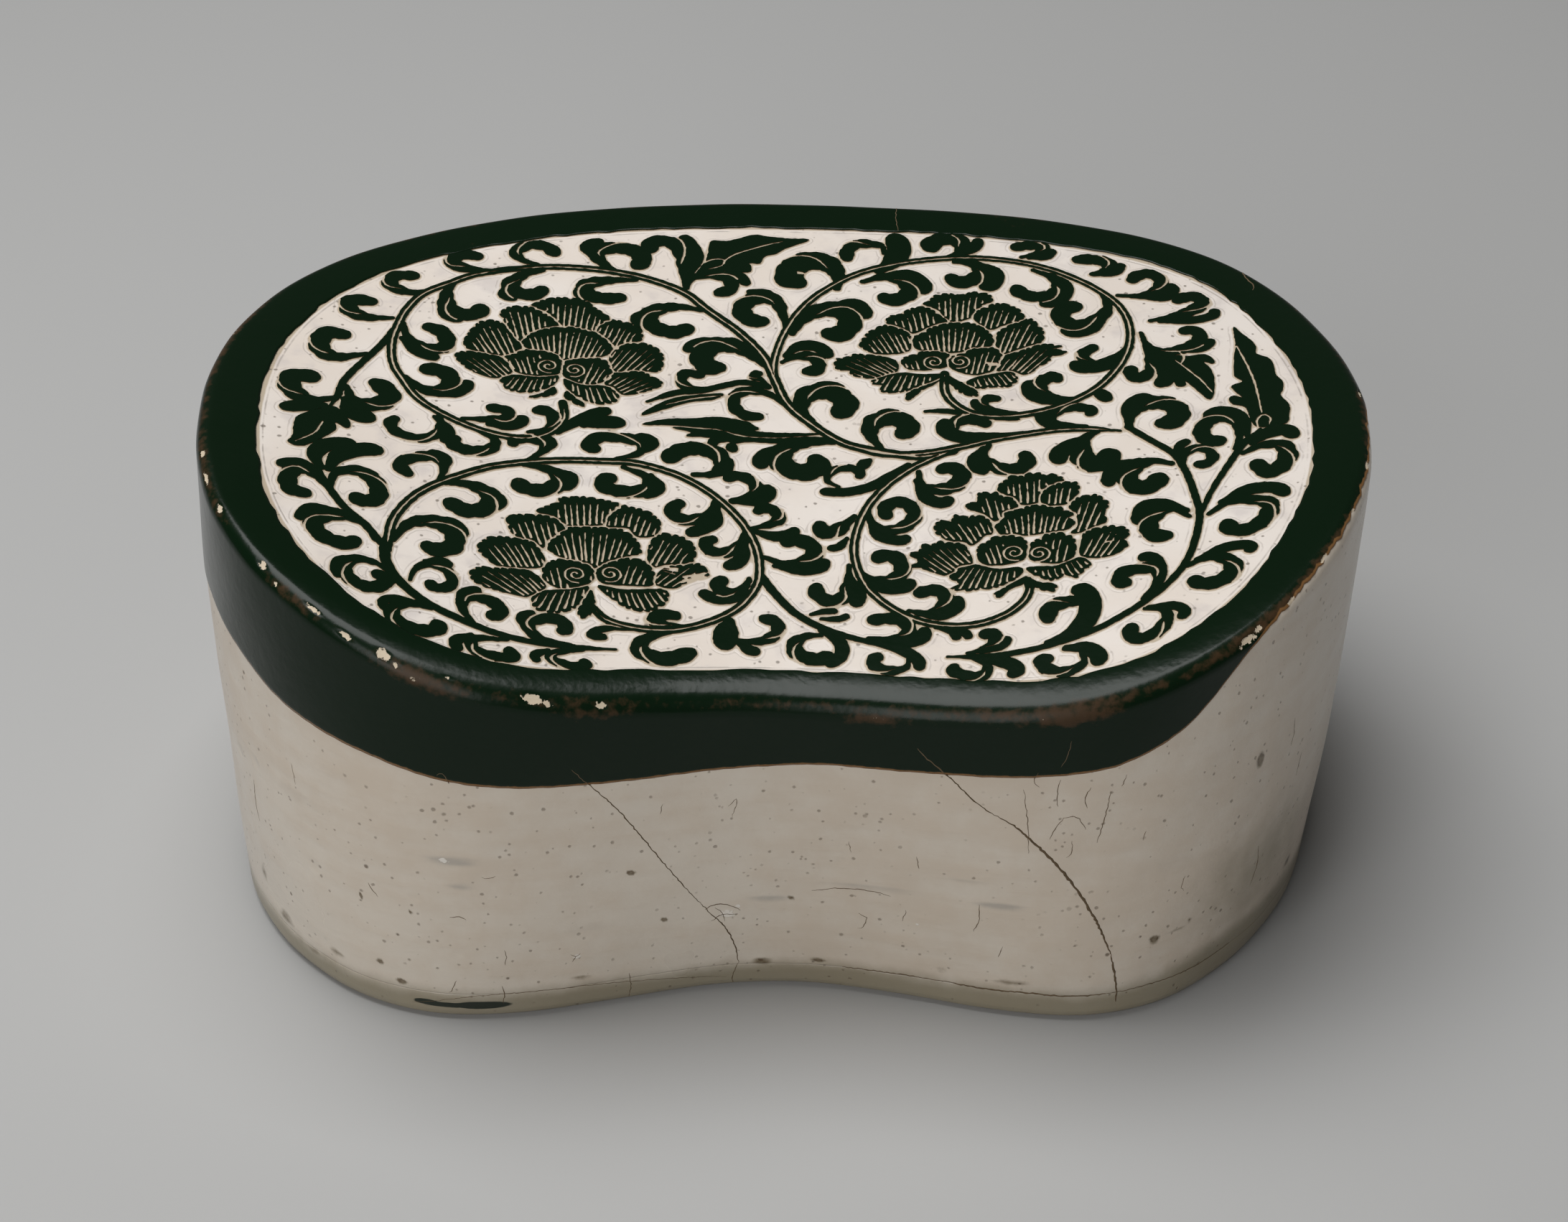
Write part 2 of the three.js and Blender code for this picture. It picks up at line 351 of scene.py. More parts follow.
class Finish:
    # one material and the nodes that make it
    def __init__(self, name):
        self.material = bpy.data.materials.new(name)
        self.material.use_nodes = True
        self.tree = self.material.node_tree
        self.shader = self.tree.nodes["Principled BSDF"]

    def fill(self, slot, value):
        # a link from a field, or a plain value, with full alpha for a colour
        if isinstance(value, Field):
            self.tree.links.new(value.socket, slot)
        elif slot.type == "RGBA":
            slot.default_value = (*value, 1.0)
        else:
            slot.default_value = value

    def node(self, kind, output=0, **sockets):
        made = self.tree.nodes.new(kind)
        for key, value in sockets.items():
            self.fill(made.inputs[key], value)
        return Field(self.tree, made.outputs[output])

    def place(self):
        return self.node("ShaderNodeTexCoord", output="Object")

    def attribute(self, name):
        made = self.tree.nodes.new("ShaderNodeAttribute")
        made.attribute_name = name
        return Field(self.tree, made.outputs["Fac"])

    def noise(self, scale, detail=3.0, roughness=0.5, stretch=(1, 1, 1)):
        at = self.node("ShaderNodeMapping", Vector=self.place(), Scale=stretch)
        return self.node("ShaderNodeTexNoise", Vector=at, Scale=scale, Detail=detail, Roughness=roughness)

    def mix(self, share, low, high):
        made = self.tree.nodes.new("ShaderNodeMix")
        made.data_type = "RGBA"
        # sockets 0, 6 and 7 are the share and the two colours, output 2 is their mix
        for number, value in ((0, share), (6, low), (7, high)):
            self.fill(made.inputs[number], value)
        return Field(self.tree, made.outputs[2])

    def set(self, **values):
        for key, value in values.items():
            self.fill(self.shader.inputs[key.replace("_", " ")], value)

    def bump(self, height, strength, distance):
        made = self.node("ShaderNodeBump", Height=height, Strength=strength, Distance=distance)
        self.tree.links.new(made.socket, self.shader.inputs["Normal"])


print("shader maths ready")


def darkSlipFinish():
    look = {
        "black": (0.0018, 0.0098, 0.0028),
        "brown": (0.060, 0.032, 0.015),
        "hem": (0.22, 0.11, 0.040),
        "cut": (0.17, 0.105, 0.055),
        "clay": (0.56, 0.47, 0.345),
        "cream": (0.62, 0.52, 0.39),
        "roughness": 0.20,
    }
    f = Finish("dark_slip_glaze")
    cloud = f.noise(22, 4, 0.6)
    fine = f.noise(420, 3, 0.6)
    wear = f.attribute("wear")
    # brown band round the rim: real brown wear, and also lighter brown as a painted highlight where the rim's
    # highlight lies
    rustAndSheen = (wear * 0.9 + (cloud - 0.5) * 1.1 + (fine - 0.5) * 1.2 - 0.34).band(0.0, 0.5) * 0.8
    colour = f.mix(rustAndSheen, look["black"], look["brown"])
    speck = (wear * 0.30 + fine - 0.93).band(0.0, 0.05) * 0.8
    colour = f.mix(speck, colour, look["clay"])
    hem = (f.attribute("brim") + (fine - 0.5) * 0.35).band(0.44, 0.62) * 0.9
    colour = f.mix(hem, colour, look["hem"])
    tiny = f.noise(1000, 3, 0.6)
    bare = (f.attribute("chip") + (tiny - 0.5) * 1.1 + (fine - 0.5) * 0.5).band(0.47, 0.55)
    colour = f.mix(bare, colour, f.mix(cloud.band(0.3, 0.7), look["cream"], look["clay"]))
    edge = f.attribute("edge")
    cut = (edge + (fine - 0.5) * 0.4).band(0.25, 0.65)
    floor = (edge + (fine - 0.5) * 0.5).band(0.9, 1.25)
    colour = f.mix(cut, colour, f.mix(floor, look["cut"], look["clay"]))
    rough = cloud * 0.16 + look["roughness"] - 0.08 + wear * 0.16 + rustAndSheen * 0.12 + bare * 0.4 + cut * 0.4
    f.set(Base_Color=colour, Roughness=rough, Specular_IOR_Level=0.20)
    dents = f.noise(260, 2, 0.5)
    f.bump(dents * 0.6 + fine * 0.25 - bare * 0.5, 0.35, 0.0004)
    return f.material


def carvedWhiteFinish():
    look = {
        "cream": (0.75, 0.67, 0.595),
        "pale": (0.79, 0.725, 0.665),
        "lilac": (0.58, 0.525, 0.50),
        "scratch": (0.50, 0.45, 0.40),
        "clay": (0.44, 0.355, 0.24),
        "spot": (0.20, 0.17, 0.14),
        "roughness": 0.32,
    }
    f = Finish("carved_white_slip")
    cloud = f.noise(30, 4, 0.55)
    worn = f.noise(140, 3, 0.6)
    colour = f.mix(cloud.band(0.35, 0.7), look["cream"], look["pale"])
    colour = f.mix((worn * 0.6 + f.noise(55, 3, 0.6) * 0.6).band(0.60, 0.80) * 0.55, colour, look["lilac"])
    away = f.attribute("away")
    brim = f.attribute("brim")
    stray = (worn - 0.5) * 0.9
    nearLeaf = 1.0 - (away - 1.25 + stray).math("ABSOLUTE").band(0.06, 0.30)
    nearBorder = 1.0 - (brim - 1.3 + stray * 0.5).math("ABSOLUTE").band(0.08, 0.34)
    scratch = nearLeaf.most(nearBorder * 1.6) * worn.band(0.36, 0.58) * 0.6
    colour = f.mix(scratch, colour, look["scratch"])
    fringe = (1.0 - (away.least(brim) + (worn - 0.5) * 0.5).band(0.22, 0.66)) * 0.8
    colour = f.mix(fringe, colour, look["clay"])
    speck = colourSpecks(f, 300.0, 0.09, 0.20, 0.30, 0.48) * 0.8
    colour = f.mix(speck, colour, look["spot"])
    f.set(Base_Color=colour, Roughness=(cloud * 0.2 + look["roughness"] - 0.08), Specular_IOR_Level=0.5)
    f.bump(cloud * 0.8 + worn * 0.35 - scratch * 0.5, 0.35, 0.0006)
    return f.material


def wallFinish():
    look = {
        "slip": (0.67, 0.60, 0.51),
        "warm": (0.62, 0.53, 0.43),
        "grey": (0.36, 0.335, 0.30),
        "flake": (0.80, 0.75, 0.68),
        "olive": (0.215, 0.185, 0.115),
        "stain": (0.17, 0.13, 0.075),
        "spot": (0.12, 0.08, 0.045),
        "dark": (0.012, 0.018, 0.010),
        "clay": (0.40, 0.33, 0.245),
        "roughness": 0.30,
    }
    f = Finish("wall_white_slip")
    cloud = f.noise(11, 4, 0.55)
    wiped = f.noise(26, 3, 0.5, stretch=(1, 1, 7))
    fine = f.noise(110, 4, 0.6)
    tiny = f.noise(900, 2, 0.6)
    colour = f.mix((cloud * 0.6 + wiped * 0.3 + fine * 0.4).band(0.52, 0.80), look["slip"], look["warm"])
    low = f.attribute("low")
    # olive glaze towards the foot, and on the right front corner greener glaze that is also painted shade
    glazeAndShade = (low + (cloud - 0.5) * 0.35 + (fine - 0.5) * 0.2).band(0.26, 0.66) * 0.8
    colour = f.mix(glazeAndShade, colour, look["olive"])
    smudge = (f.attribute("smudges") * (wiped * 0.8 + fine * 0.8)).band(0.12, 0.70) * 0.62
    colour = f.mix(smudge, colour, look["grey"])
    stain = (f.attribute("stains") + (fine - 0.5) * 0.9).band(0.22, 0.60) * 0.9
    colour = f.mix(stain, colour, look["stain"])
    colour = f.mix((stain + (tiny - 0.5) * 0.9 - 0.75).band(0.0, 0.3), colour, look["spot"])
    speck = colourSpecks(f, 330.0, 0.07, 0.20, 0.34, 0.50)
    large = colourSpecks(f, 95.0, 0.03, 0.075, 0.42, 0.54)
    colour = f.mix(speck * 0.55, colour, look["spot"])
    colour = f.mix(large * 0.8, colour, look["spot"])
    flake = (f.attribute("flakes") + (tiny - 0.5) * 0.9).band(0.46, 0.54)
    colour = f.mix(flake * 0.85, colour, look["flake"])
    streak = (f.attribute("streak") + (fine - 0.5) * 0.25).band(0.46, 0.54)
    colour = f.mix(streak, colour, look["dark"])
    bare = f.attribute("bare").band(0.2, 0.8)
    colour = f.mix(bare, colour, f.mix(fine.band(0.35, 0.8) * 0.3 + tiny * 0.15, look["clay"], look["spot"]))
    rough = cloud * 0.2 + look["roughness"] - 0.1 + bare * 0.5
    f.set(Base_Color=colour, Roughness=rough, Specular_IOR_Level=0.5)
    dimple = colourSpecks(f, 48.0, 0.02, 0.16, 0.40, 0.56)
    height = cloud + wiped * 0.5 + fine * 0.45 + flake * 0.25 - speck * 0.4 - large * 0.6 - dimple * 0.45
    f.bump(height, 0.42, 0.0012)
    return f.material


def colourSpecks(f, scale, core, brink, low, high):
    # pinholes, in patches
    pits = f.node("ShaderNodeTexVoronoi", Vector=f.place(), Scale=scale)
    ragged = pits + (f.noise(scale * 3, 2) - 0.45) * brink
    hole = 1.0 - (ragged + f.noise(scale * 0.4, 1) * brink * 1.4 - brink * 0.6).band(core, brink)
    return hole * f.noise(35, 2).band(low, high)


def bareClayFinish(name, pale, mid, grit):
    f = Finish(name)
    grain = f.noise(300, 5, 0.7)
    cloud = f.noise(18, 4, 0.6)
    colour = f.mix(cloud.band(0.35, 0.7), pale, mid)
    colour = f.mix(grain.band(0.55, 0.75) * 0.6, colour, grit)
    f.set(Base_Color=colour, Roughness=0.85, Specular_IOR_Level=0.3)
    f.bump(grain * 0.7 + cloud * 0.5, 0.6, 0.0005)
    return f.material


darkSlip = darkSlipFinish()
carvedWhite = carvedWhiteFinish()
wallSlip = wallFinish()
bareClay = bareClayFinish("bare_stoneware", (0.40, 0.33, 0.245), (0.30, 0.25, 0.18), (0.20, 0.14, 0.09))
crackClay = bareClayFinish("crack_soil", (0.11, 0.075, 0.040), (0.16, 0.11, 0.065), (0.05, 0.035, 0.02))
print("finishes ready")


def finishPiece(obj, material, slot, *nodes):
    obj.data.materials.clear()
    obj.data.materials.append(material)
    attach(obj, "root")
    if nodes:
        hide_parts(*nodes)


def borderWidth(share):
    # wider at the sides and the back than at the front
    out = around(rimOut, share)[:, 1]
    across = np.where(out > 0, form["borderBack"], form["borderFront"])
    return form["borderSides"] + (across - form["borderSides"]) * out * out


# Dark slip: border, rounded rim, and the dipped edge that runs down the wall
drape = {
    "rows": 64,
    "columns": 720,
    "thickness": 0.7,
    "borderRows": 0.24,
    "rimFiner": 3,
    "lap": 0.25,
    "lapReach": 0.45,
    "chipDepth": 0.3,
    # the band round the rim that is both real brown wear and painted highlight: where it lies, how wide, how
    # strong, how much it varies
    "rimWearAndSheenAt": 2.6,
    "rimWearAndSheenReach": 2.1,
    "coreEdge": 1.4,
    "rimWearAndSheen": 0.60,
    "rimWearAndSheenVaries": 0.32,
    # share of the way round from the right end, and how far under the rim the slip ends in mm
    "edge": [(0.0, 1.6), (0.03, 5), (0.1, 22), (0.25, 30), (0.4, 34), (0.5, 37), (0.53, 37), (0.55, 35),
        (0.6, 35), (0.63, 31), (0.66, 29), (0.69, 25), (0.73, 21), (0.76, 18.3), (0.8, 18.6), (0.845, 20.2),
        (0.865, 17), (0.875, 11.5), (0.884, 4.5), (0.894, 2), (0.91, 1.3), (0.95, 1.3), (0.98, 1.4),
        (1.0, 1.6)],
    "smooth": 0.006,
    # a thin edge, short of the wall, breaks up more than a deep one
    "thinBelow": 6,
    "thinFade": 4,
    "broken": 0.45,
    "wavy": 0.12,
    "nick": 0.45,
    "nickPitch": 3.2,
    # chips and worn stretches lie at a share, and at mm along from where the rim starts to curve
    # worn stretches add half length, half width and strength, chips half length and half width
    "scuffs": [(0.56, 3.0, 12, 2.2, 0.7), (0.602, 3.0, 14, 2.6, 0.8), (0.648, 3.8, 17, 3.2, 1.05),
        (0.7, 4.4, 13, 2.0, 0.7), (0.775, 4.8, 9, 1.8, 0.8), (0.832, 4.2, 16, 2.2, 0.9)],
    "chips": [(0.563, 2.4, 1.4, 0.7), (0.59, 2.2, 1.3, 0.9), (0.597, 3.2, 0.6, 0.5), (0.6115, 2.0, 2.2, 0.5),
        (0.6235, 2.8, 1.8, 0.6), (0.636, 2.2, 1.7, 1.1), (0.6405, 3.2, 0.6, 0.5), (0.679, 2.2, 2.3, 1.0),
        (0.6835, 2.9, 0.8, 0.7), (0.6985, 2.8, 1.2, 0.8), (0.548, 3.0, 2.4, 0.5), (0.536, 2.6, 1.1, 0.7),
        (0.886, 3.4, 2.4, 0.9), (0.8905, 2.8, 1.1, 0.7), (0.905, 3.2, 1.4, 0.6), (0.925, 2.7, 2.0, 0.5),
        (0.948, 2.9, 1.3, 0.6), (0.972, 2.6, 1.8, 0.5), (0.012, 2.5, 1.4, 0.5), (0.655, 1.6, 0.6, 0.4)],
}


def drapeEnd(share):
    # how far round the rim and down the wall the slip reaches
    at = np.array(drape["edge"], float)
    s = share % 1
    drop = np.zeros_like(s)
    for k, weight in ((-1, 0.25), (0, 0.5), (1, 0.25)):
        drop += weight * np.interp((s + k * drape["smooth"]) % 1, at[:, 0], at[:, 1])
    r = form["rimRadius"]
    thin = np.clip((drape["thinBelow"] - drop) / drape["thinFade"], 0, 1)
    drop = drop + thin * drape["broken"] * ringNoise(s, (61, 97, 151, 233), 0.6)
    drop = drop + (1 - thin) * drape["wavy"] * ringNoise(s, (83, 131, 211), 1.6)
    onRim = r * np.arccos(1 - np.clip(drop, 0.2, r) / r)
    return np.where(drop < r, onRim, r * math.pi / 2 + drop - r)


def makeDrape():
    knots = int(rimLength / drape["nickPitch"])
    nicks = np.array([random.uniform(-1, 1) * drape["nick"] for _ in range(knots)])
    nicks[-1] = nicks[0]
    r = form["rimRadius"]
    seen = {}

    def place(u, v):
        border = borderWidth(u) + np.interp(u % 1, np.linspace(0, 1, knots), nicks)
        end = drapeEnd(u)
        # the first rows cross the border, then rows lie closer round the rim than down the wall
        arc = np.minimum(end, r * math.pi / 2)
        flat, finer = drape["borderRows"], drape["rimFiner"]
        part = np.clip((v - flat) / (1 - flat), 0, 1) * (finer * arc + end - arc)
        along = np.where(part < finer * arc, part / finer, part - (finer - 1) * arc)
        along = np.where(v < flat, -(border - r) * (1 - v / flat), along)
        chip = np.zeros_like(u)
        for share, middle, half, width in drape["chips"]:
            gap = np.hypot(mmFrom(u, share) / half, (along - middle) / width)
            chip = np.maximum(chip, np.clip(1 - gap / 2, 0, 1))
        left = end - along
        depth = drape["lap"] * np.clip(1 - left / drape["lapReach"], 0, 1) ** 2
        depth = depth + drape["chipDepth"] * np.clip(chip * 3 - 1, 0, 1)
        # band of brown round the rim: real wear, and painted highlight where the rim's highlight lies
        worn = np.exp(-((along - drape["rimWearAndSheenAt"]) / drape["rimWearAndSheenReach"]) ** 2)
        worn = worn * (drape["rimWearAndSheen"] + drape["rimWearAndSheenVaries"] * ringNoise(u, (2, 5, 11), 2.9))
        for share, middle, half, width, strength in drape["scuffs"]:
            gap = (mmFrom(u, share) / half) ** 2 + ((along - middle) / width) ** 2
            worn = np.maximum(worn, strength * np.exp(-gap))
        seen.update(wear=worn, brim=np.clip(1 - left / 2, 0, 1), chip=chip)
        return coatPoints(u, along, depth)

    slip = wrappedGrid("dark_slip_coat", drape["columns"], drape["rows"], place, seen)
    outer = len(slip.data.vertices)
    applyModifier(slip, "SOLIDIFY", thickness=drape["thickness"] * mm, offset=-1)
    setAttribute(slip, "edge", drape["coreEdge"] * (np.arange(len(slip.data.vertices)) >= outer))
    return slip


slipCoat = makeDrape()
finishPiece(slipCoat, darkSlip, "dark_slip", "dark_slip_border")
print("slip coat made", len(slipCoat.data.polygons), "faces")

# The carved scroll, in mm on the headrest seen from above, read leaf by leaf from the pillow
scroll = {
    "step": 0.22,
    "reach": (140, 97),
    "curveSteps": 12,
    # distance between the points of each kind of line
    "leafPitch": 0.9,
    "vinePitch": 1.5,
    "bladePitch": 0.8,
    "veinPitch": 1.0,
    "petalPitch": 0.7,
    "brimPitch": 0.35,
    "lineWidth": 0.70,
    "grooveWidth": 0.62,
    "edgeWobble": 0.12,
    "relief": 0.38,
    "pinchGap": 0.02,
    "fatten": 0.08,
    "flare": 0.26,
    "stalkShare": 0.30,
    "lobeStalk": 0.45,
    "fullFrom": 0.5,
    "eyeTurns": 1.7,
    "eyeStart": 0.40,
    "eyeGrowth": 0.255,
    "eyeLine": 0.30,
    "eyeClear": 3.7,
    "fewestSteps": 6,
    "hookFrom": 0.30,
    "hookTo": 0.70,
    "hookInside": 0.5,
    "hookCross": 1.65,
    "lobing": 0.10,
    "petalLobe": 2.3,
    "petalNotch": 1.15,
    "hatchPitch": 1.55,
    "hatchRoot": 0.45,
    "hatchBrim": 2.3,
    "slack": 0.06,
    "leastArea": 0.12,
    "innerPitch": 3.5,
    "depth": 0.85,
    "bevelWidth": 0.24,
    "bevelDrop": 0.28,
    "footLift": 0.02,
    # the knife's unevenness: wave length in mm, share of the wobble
    "wobbles": [(5.1, 0.5), (2.3, 0.5), (1.3, 0.3)],
}

# Curled leaves: greatest half width, then x and y of each point of the middle line, from stalk to tip
curls = [
    (2.2, -80.5, 65, -87, 65, -92.3, 67.5, -90.5, 72, -85, 71.3),
    (2.1, -97.5, 53.5, -103, 52, -108, 55, -107, 59.5, -101.5, 60.3),
    (2.4, -106, 39, -113, 38.3, -117.5, 41, -117.5, 46, -111.5, 46),
    (2.6, -111, 21, -119, 17.8, -123.3, 21.5, -122.5, 28.5, -117, 28.8),
    (2.8, -117, -1, -123, -3.5, -128.3, 0.5, -128.3, 6.3, -122.5, 7.4),
    (2.7, -114.5, 5, -112, -1, -106.5, -1.5, -103.2, 3, -105.5, 7, -108, 8.7),
    (2.2, -102.8, 37, -101, 30.5, -96, 26.3, -91, 28, -91.8, 34, -96.8, 36.8),
    (2.5, -100, 12.5, -95, 8, -90, 8.2, -88, 13, -91, 17, -96, 17),
    (2.4, -90.5, 59, -92.5, 54, -92, 47, -88, 43.5, -83.8, 44.5, -83, 48),
    (2.0, -69, 69, -73.5, 70.8, -75.5, 74.8, -71.5, 78.3, -67, 77.5, -64.3, 74),
    (2.4, -67.5, 66.3, -73, 63.5, -76, 58.5, -73.5, 55, -69, 55, -66.8, 57.8),
    (2.5, -46, 66, -51, 70.5, -53.5, 76, -48, 78.5, -42.5, 77, -40.5, 73, -42.3, 70),
    (2.3, -28.3, 61, -29, 69, -29.5, 76, -33, 82, -38.5, 81.5, -38.5, 77.5),
    (2.3, -42, 63.8, -50, 63, -55.5, 60.5, -54.5, 56, -49.5, 54.8, -45.3, 55.7),
    (2.5, -23.5, 51.5, -31, 52.5, -37.5, 49.5, -37, 43.7, -31, 41.2, -26.8, 43.5),
    (1.7, -84, -2.7, -77.5, -2, -73, -1, -73, 2.5, -77.8, 3.2),
    (1.8, -67, -5.5, -61.5, -3.5, -60.8, 1.5, -63, 4, -66, 3.8),
    (1.9, -44, -13.3, -38.5, -10.5, -37.5, -6.5, -42, -4.7, -48.5, -5, -51.5, -8.5, -49, -10.3),
    (1.6, -66.5, -17, -63, -13, -62.3, -9.8, -66, -8.3, -70, -9.3, -70.7, -11.8),
    (1.9, -79, -7.5, -75, -10.5, -76.5, -14.5, -81.5, -15.8, -85.5, -14, -85, -11),
    (2.3, -67, -19, -60, -20.3, -57.8, -24.5, -61.5, -28.3, -66.5, -28.3, -68.3, -25.8),
    (2.2, -42, -16.5, -36, -19.5, -35.5, -24, -40.5, -26, -46, -25, -46.8, -22, -44.5, -20.9),
    (2.5, -87, -30.3, -80, -29.7, -74.5, -33, -75.5, -38.3, -80.5, -40, -84.8, -37.5),
    (1.8, -88, -30, -87, -24.5, -89.5, -20.3, -95, -21.8, -98, -25.5, -95.2, -29.3),
    (2.4, -96.8, -56, -93.5, -48.5, -87.5, -46.3, -82.5, -49.5, -82.5, -55, -86.5, -57, -89, -55.6),
    (2.2, -113.8, -39.5, -113, -33, -107.5, -30.8, -103, -34.5, -102, -40.5, -105.5, -42.8, -107.8, -41),
    (2.2, -112.5, -42.5, -117.5, -35.5, -122.5, -34, -124.3, -38.5, -123, -43.3, -118.8, -44),
    (1.8, -75, -82, -78.3, -77, -77.8, -72.5, -73.5, -72, -69.5, -74.5, -69.8, -77.5, -71.8, -77.7),
    (1.7, -52, -84.2, -59.5, -83.3, -62.5, -79, -59.5, -76.3, -54.8, -76, -53.3, -79, -55, -79.8),
    (1.5, -67, -85.6, -74.5, -87, -74.5, -91, -69, -92, -64.8, -91, -66.8, -88.9),
    (1.3, -49, -85.4, -55.5, -87.5, -56, -90, -51.5, -91.3, -47.6, -90.5, -49, -89),
    (1.2, -32, -76, -40, -75.8, -44.5, -77, -47, -79.7, -43.5, -80),
    (1.7, -21.5, -73.2, -28, -74.3, -33, -72, -29.5, -70, -26.3, -70.3),
    (2.2, -28.5, -76, -34, -79, -35.5, -83, -30.5, -85.5, -25.5, -84, -22.5, -82),
    (2.3, -101, -57, -104.5, -51.5, -110, -50, -115, -52.5, -116, -56.5, -112.5, -60.3, -107.5, -60.8,
        -105.5, -58.5),
    (1.9, -95.8, -69.3, -99.5, -66.3, -104.5, -65.9, -107, -69, -106.3, -73, -102.5, -75.6, -98.5, -74.8,
        -97, -71.5, -99.8, -69.9),
    (1.5, -91.5, -70, -90.5, -65.5, -87.5, -62.8, -83.5, -63.5, -81.3, -67, -82.5, -70.3, -85.5, -71.2,
        -86.8, -69.4),
    (2.0, -85.5, -79, -91, -79, -94.3, -81.5, -94, -85.3, -89.5, -87.6, -85, -87.2, -83.2, -85,
        -84.5, -83.8),
    (1.9, -28, 61, -26.8, 65.5, -22, 67.6, -16.8, 66, -16, 61.5, -20, 59),
    (2.5, -0.8, 45, -1.8, 51, -4, 57, -9, 57.8, -12.8, 54, -12, 49.3, -8.5, 47.3, -6.5, 48.2),
    (3.7, 12.9, 63, 13.2, 69, 10.5, 74, 5.5, 75.3, 1.3, 72.5, -0.3, 67.5, 2.8, 64.7),
    (1.9, 26, 79.5, 25.5, 82.8, 22, 83.8, 17.8, 83.2, 15.8, 79.8, 15.8, 76),
    (3.1, 0.8, 42.5, 4, 49.5, 9.5, 53.5, 15, 52.5, 16.3, 46.8, 13.5, 42.8, 9.8, 43.2),
    (2.5, 20, 66.3, 26, 68.8, 31.5, 67, 32.8, 62, 29.8, 58.8, 26.5, 58.7, 25.5, 60.3),
    (2.7, 43.6, 78, 47.5, 81.5, 46.8, 86.3, 42.2, 87, 39.2, 84.3, 39.7, 81.6),
    (2.5, 45.5, 76.3, 50, 75.6, 52.8, 72.3, 50.5, 68.2, 46, 66.9, 44, 69.5),
    (2.2, 67, 73, 72, 69.5, 73.8, 64.5, 71, 61, 66.5, 60.5, 63, 62.3, 62, 65.2),
    (2.5, 85.3, 62, 86.3, 55, 82.3, 48.8, 77.3, 46.8, 73.5, 50, 74.3, 54.5, 78.5, 56.3),
    (1.9, 64, 79, 69, 81, 70.3, 84, 66.5, 84.8, 62, 83.6),
    (2.2, 83, 71.3, 87.3, 73.3, 87.8, 77, 83.5, 78.5, 78.8, 78.2),
    (2.0, 89.5, 61, 96, 60.9, 100.8, 64, 101.7, 69, 98.5, 71.7, 95.3, 70.5, 93.6, 67.8),
    (2.1, 97.5, 48.7, 104, 50.7, 109.3, 53.5, 112.3, 57.3, 110, 60.3, 106.7, 59.4, 105, 57.6),
    (1.9, 94.5, 43, 95.8, 37, 99.5, 33.7, 104.5, 34.7, 108.8, 37.7, 110.2, 41.3, 108, 43.9, 105.5, 43),
    (2.0, 95, 37, 96, 31.5, 96.3, 25.8, 93, 22.4, 90.6, 24, 90.7, 27),
    (2.8, 88.5, 0.5, 89.2, 6, 92.5, 10.3, 97.5, 10.8, 101.3, 7.8, 101, 3.5, 98, 1.4, 96.4, 2.2),
    (1.6, 70.5, 3, 68.8, 6.5, 71.3, 9.8, 75.5, 10.5, 79, 9.3, 78.3, 7),
    (2.0, 72, 14.5, 66.8, 17.5, 66.5, 22, 70, 24.2, 71.3, 22.3),
    (1.7, 84, 29, 79.5, 30.5, 78.3, 33.8, 81.8, 37.3),
    (1.9, 46, -1, 42.8, 2, 44, 6, 48.5, 6.5, 52, 4.4),
    (1.4, 55, 10, 51.2, 12.3, 51.7, 15.2, 55.5, 15.2),
    (3.0, -5, 27, -9, 32, -14, 36.2, -20, 36.3, -23.3, 31.5, -21.5, 27.1, -17.8, 27),
    (1.5, -19.5, 18.3, -25, 17.3, -28.3, 20, -27.3, 23.8, -22.8, 23.2),
    (1.7, -0.5, 11.5, -5, 16.3, -10.5, 17.6, -14.3, 15, -14, 10.3, -11, 7.2, -7, 7),
    (1.0, -5.2, 20, -7.5, 22.5, -9.5, 23.5, -8.8, 25.3, -7.2, 24.3),
    (1.9, -1.8, 30, 1, 32.3, 5.5, 33, 8, 30.6, 7.3, 27.2, 4, 26.3),
    (3.1, 6, 6, 3.6, 10, 4.2, 16, 9, 18.3, 13.4, 16.5, 15.2, 12.5, 13, 8.7),
    (2.8, 24, -5, 21.2, 1, 22.6, 6, 27, 7.4, 30.8, 5.5, 31, 2, 29, 0.7),
    (2.5, -24, -17.5, -19, -16.8, -16.8, -12.5, -18.7, -8.4, -24, -7, -28.5, -8.8, -31, -12.5),
    (1.7, -14, -26.5, -9.5, -24.5, -8, -21, -10.5, -17.8, -14, -17.2, -15.5, -18.8),
    (1.7, -9, -37, -4.5, -35.3, -2, -32.8, -3.5, -29.8, -6.5, -29.2, -7.8, -31),
    (2.2, -5.5, -47.5, 0, -50, 5.3, -48.3, 7, -44.5, 4.5, -41.5, 1, -40.8, -0.3, -42.3),
    (1.9, -18.5, -27.5, -20, -32.5, -24.5, -35.2, -28.3, -34, -29, -30.8, -26.8, -28.5),
    (1.7, -10.5, -37, -11.8, -43, -15.5, -46.5, -19.3, -46, -20.3, -43, -18, -41.5),
    (3.0, 12, -2.5, 5, -3, 0, -4.8, -2.2, -9, -0.5, -13.3, 4, -15, 7.8, -12.5, 6.8, -9),
    (1.3, 13, -20.3, 10, -17.8, 11.5, -14, 15.5, -12.8, 18.5, -14.5, 18, -16.8),
    (2.1, 17, -31.5, 13.5, -36, 10.3, -38.3, 8.3, -36.3, 8.5, -34.2),
    (2.0, 17.5, -50.5, 20, -54.5, 25.3, -55.5, 28.7, -52.3, 27.3, -47.3, 24, -46.3, 22, -48),
    (1.8, -9.3, -55.5, -11.5, -60.3, -15, -61, -17.3, -58.5, -15.5, -56),
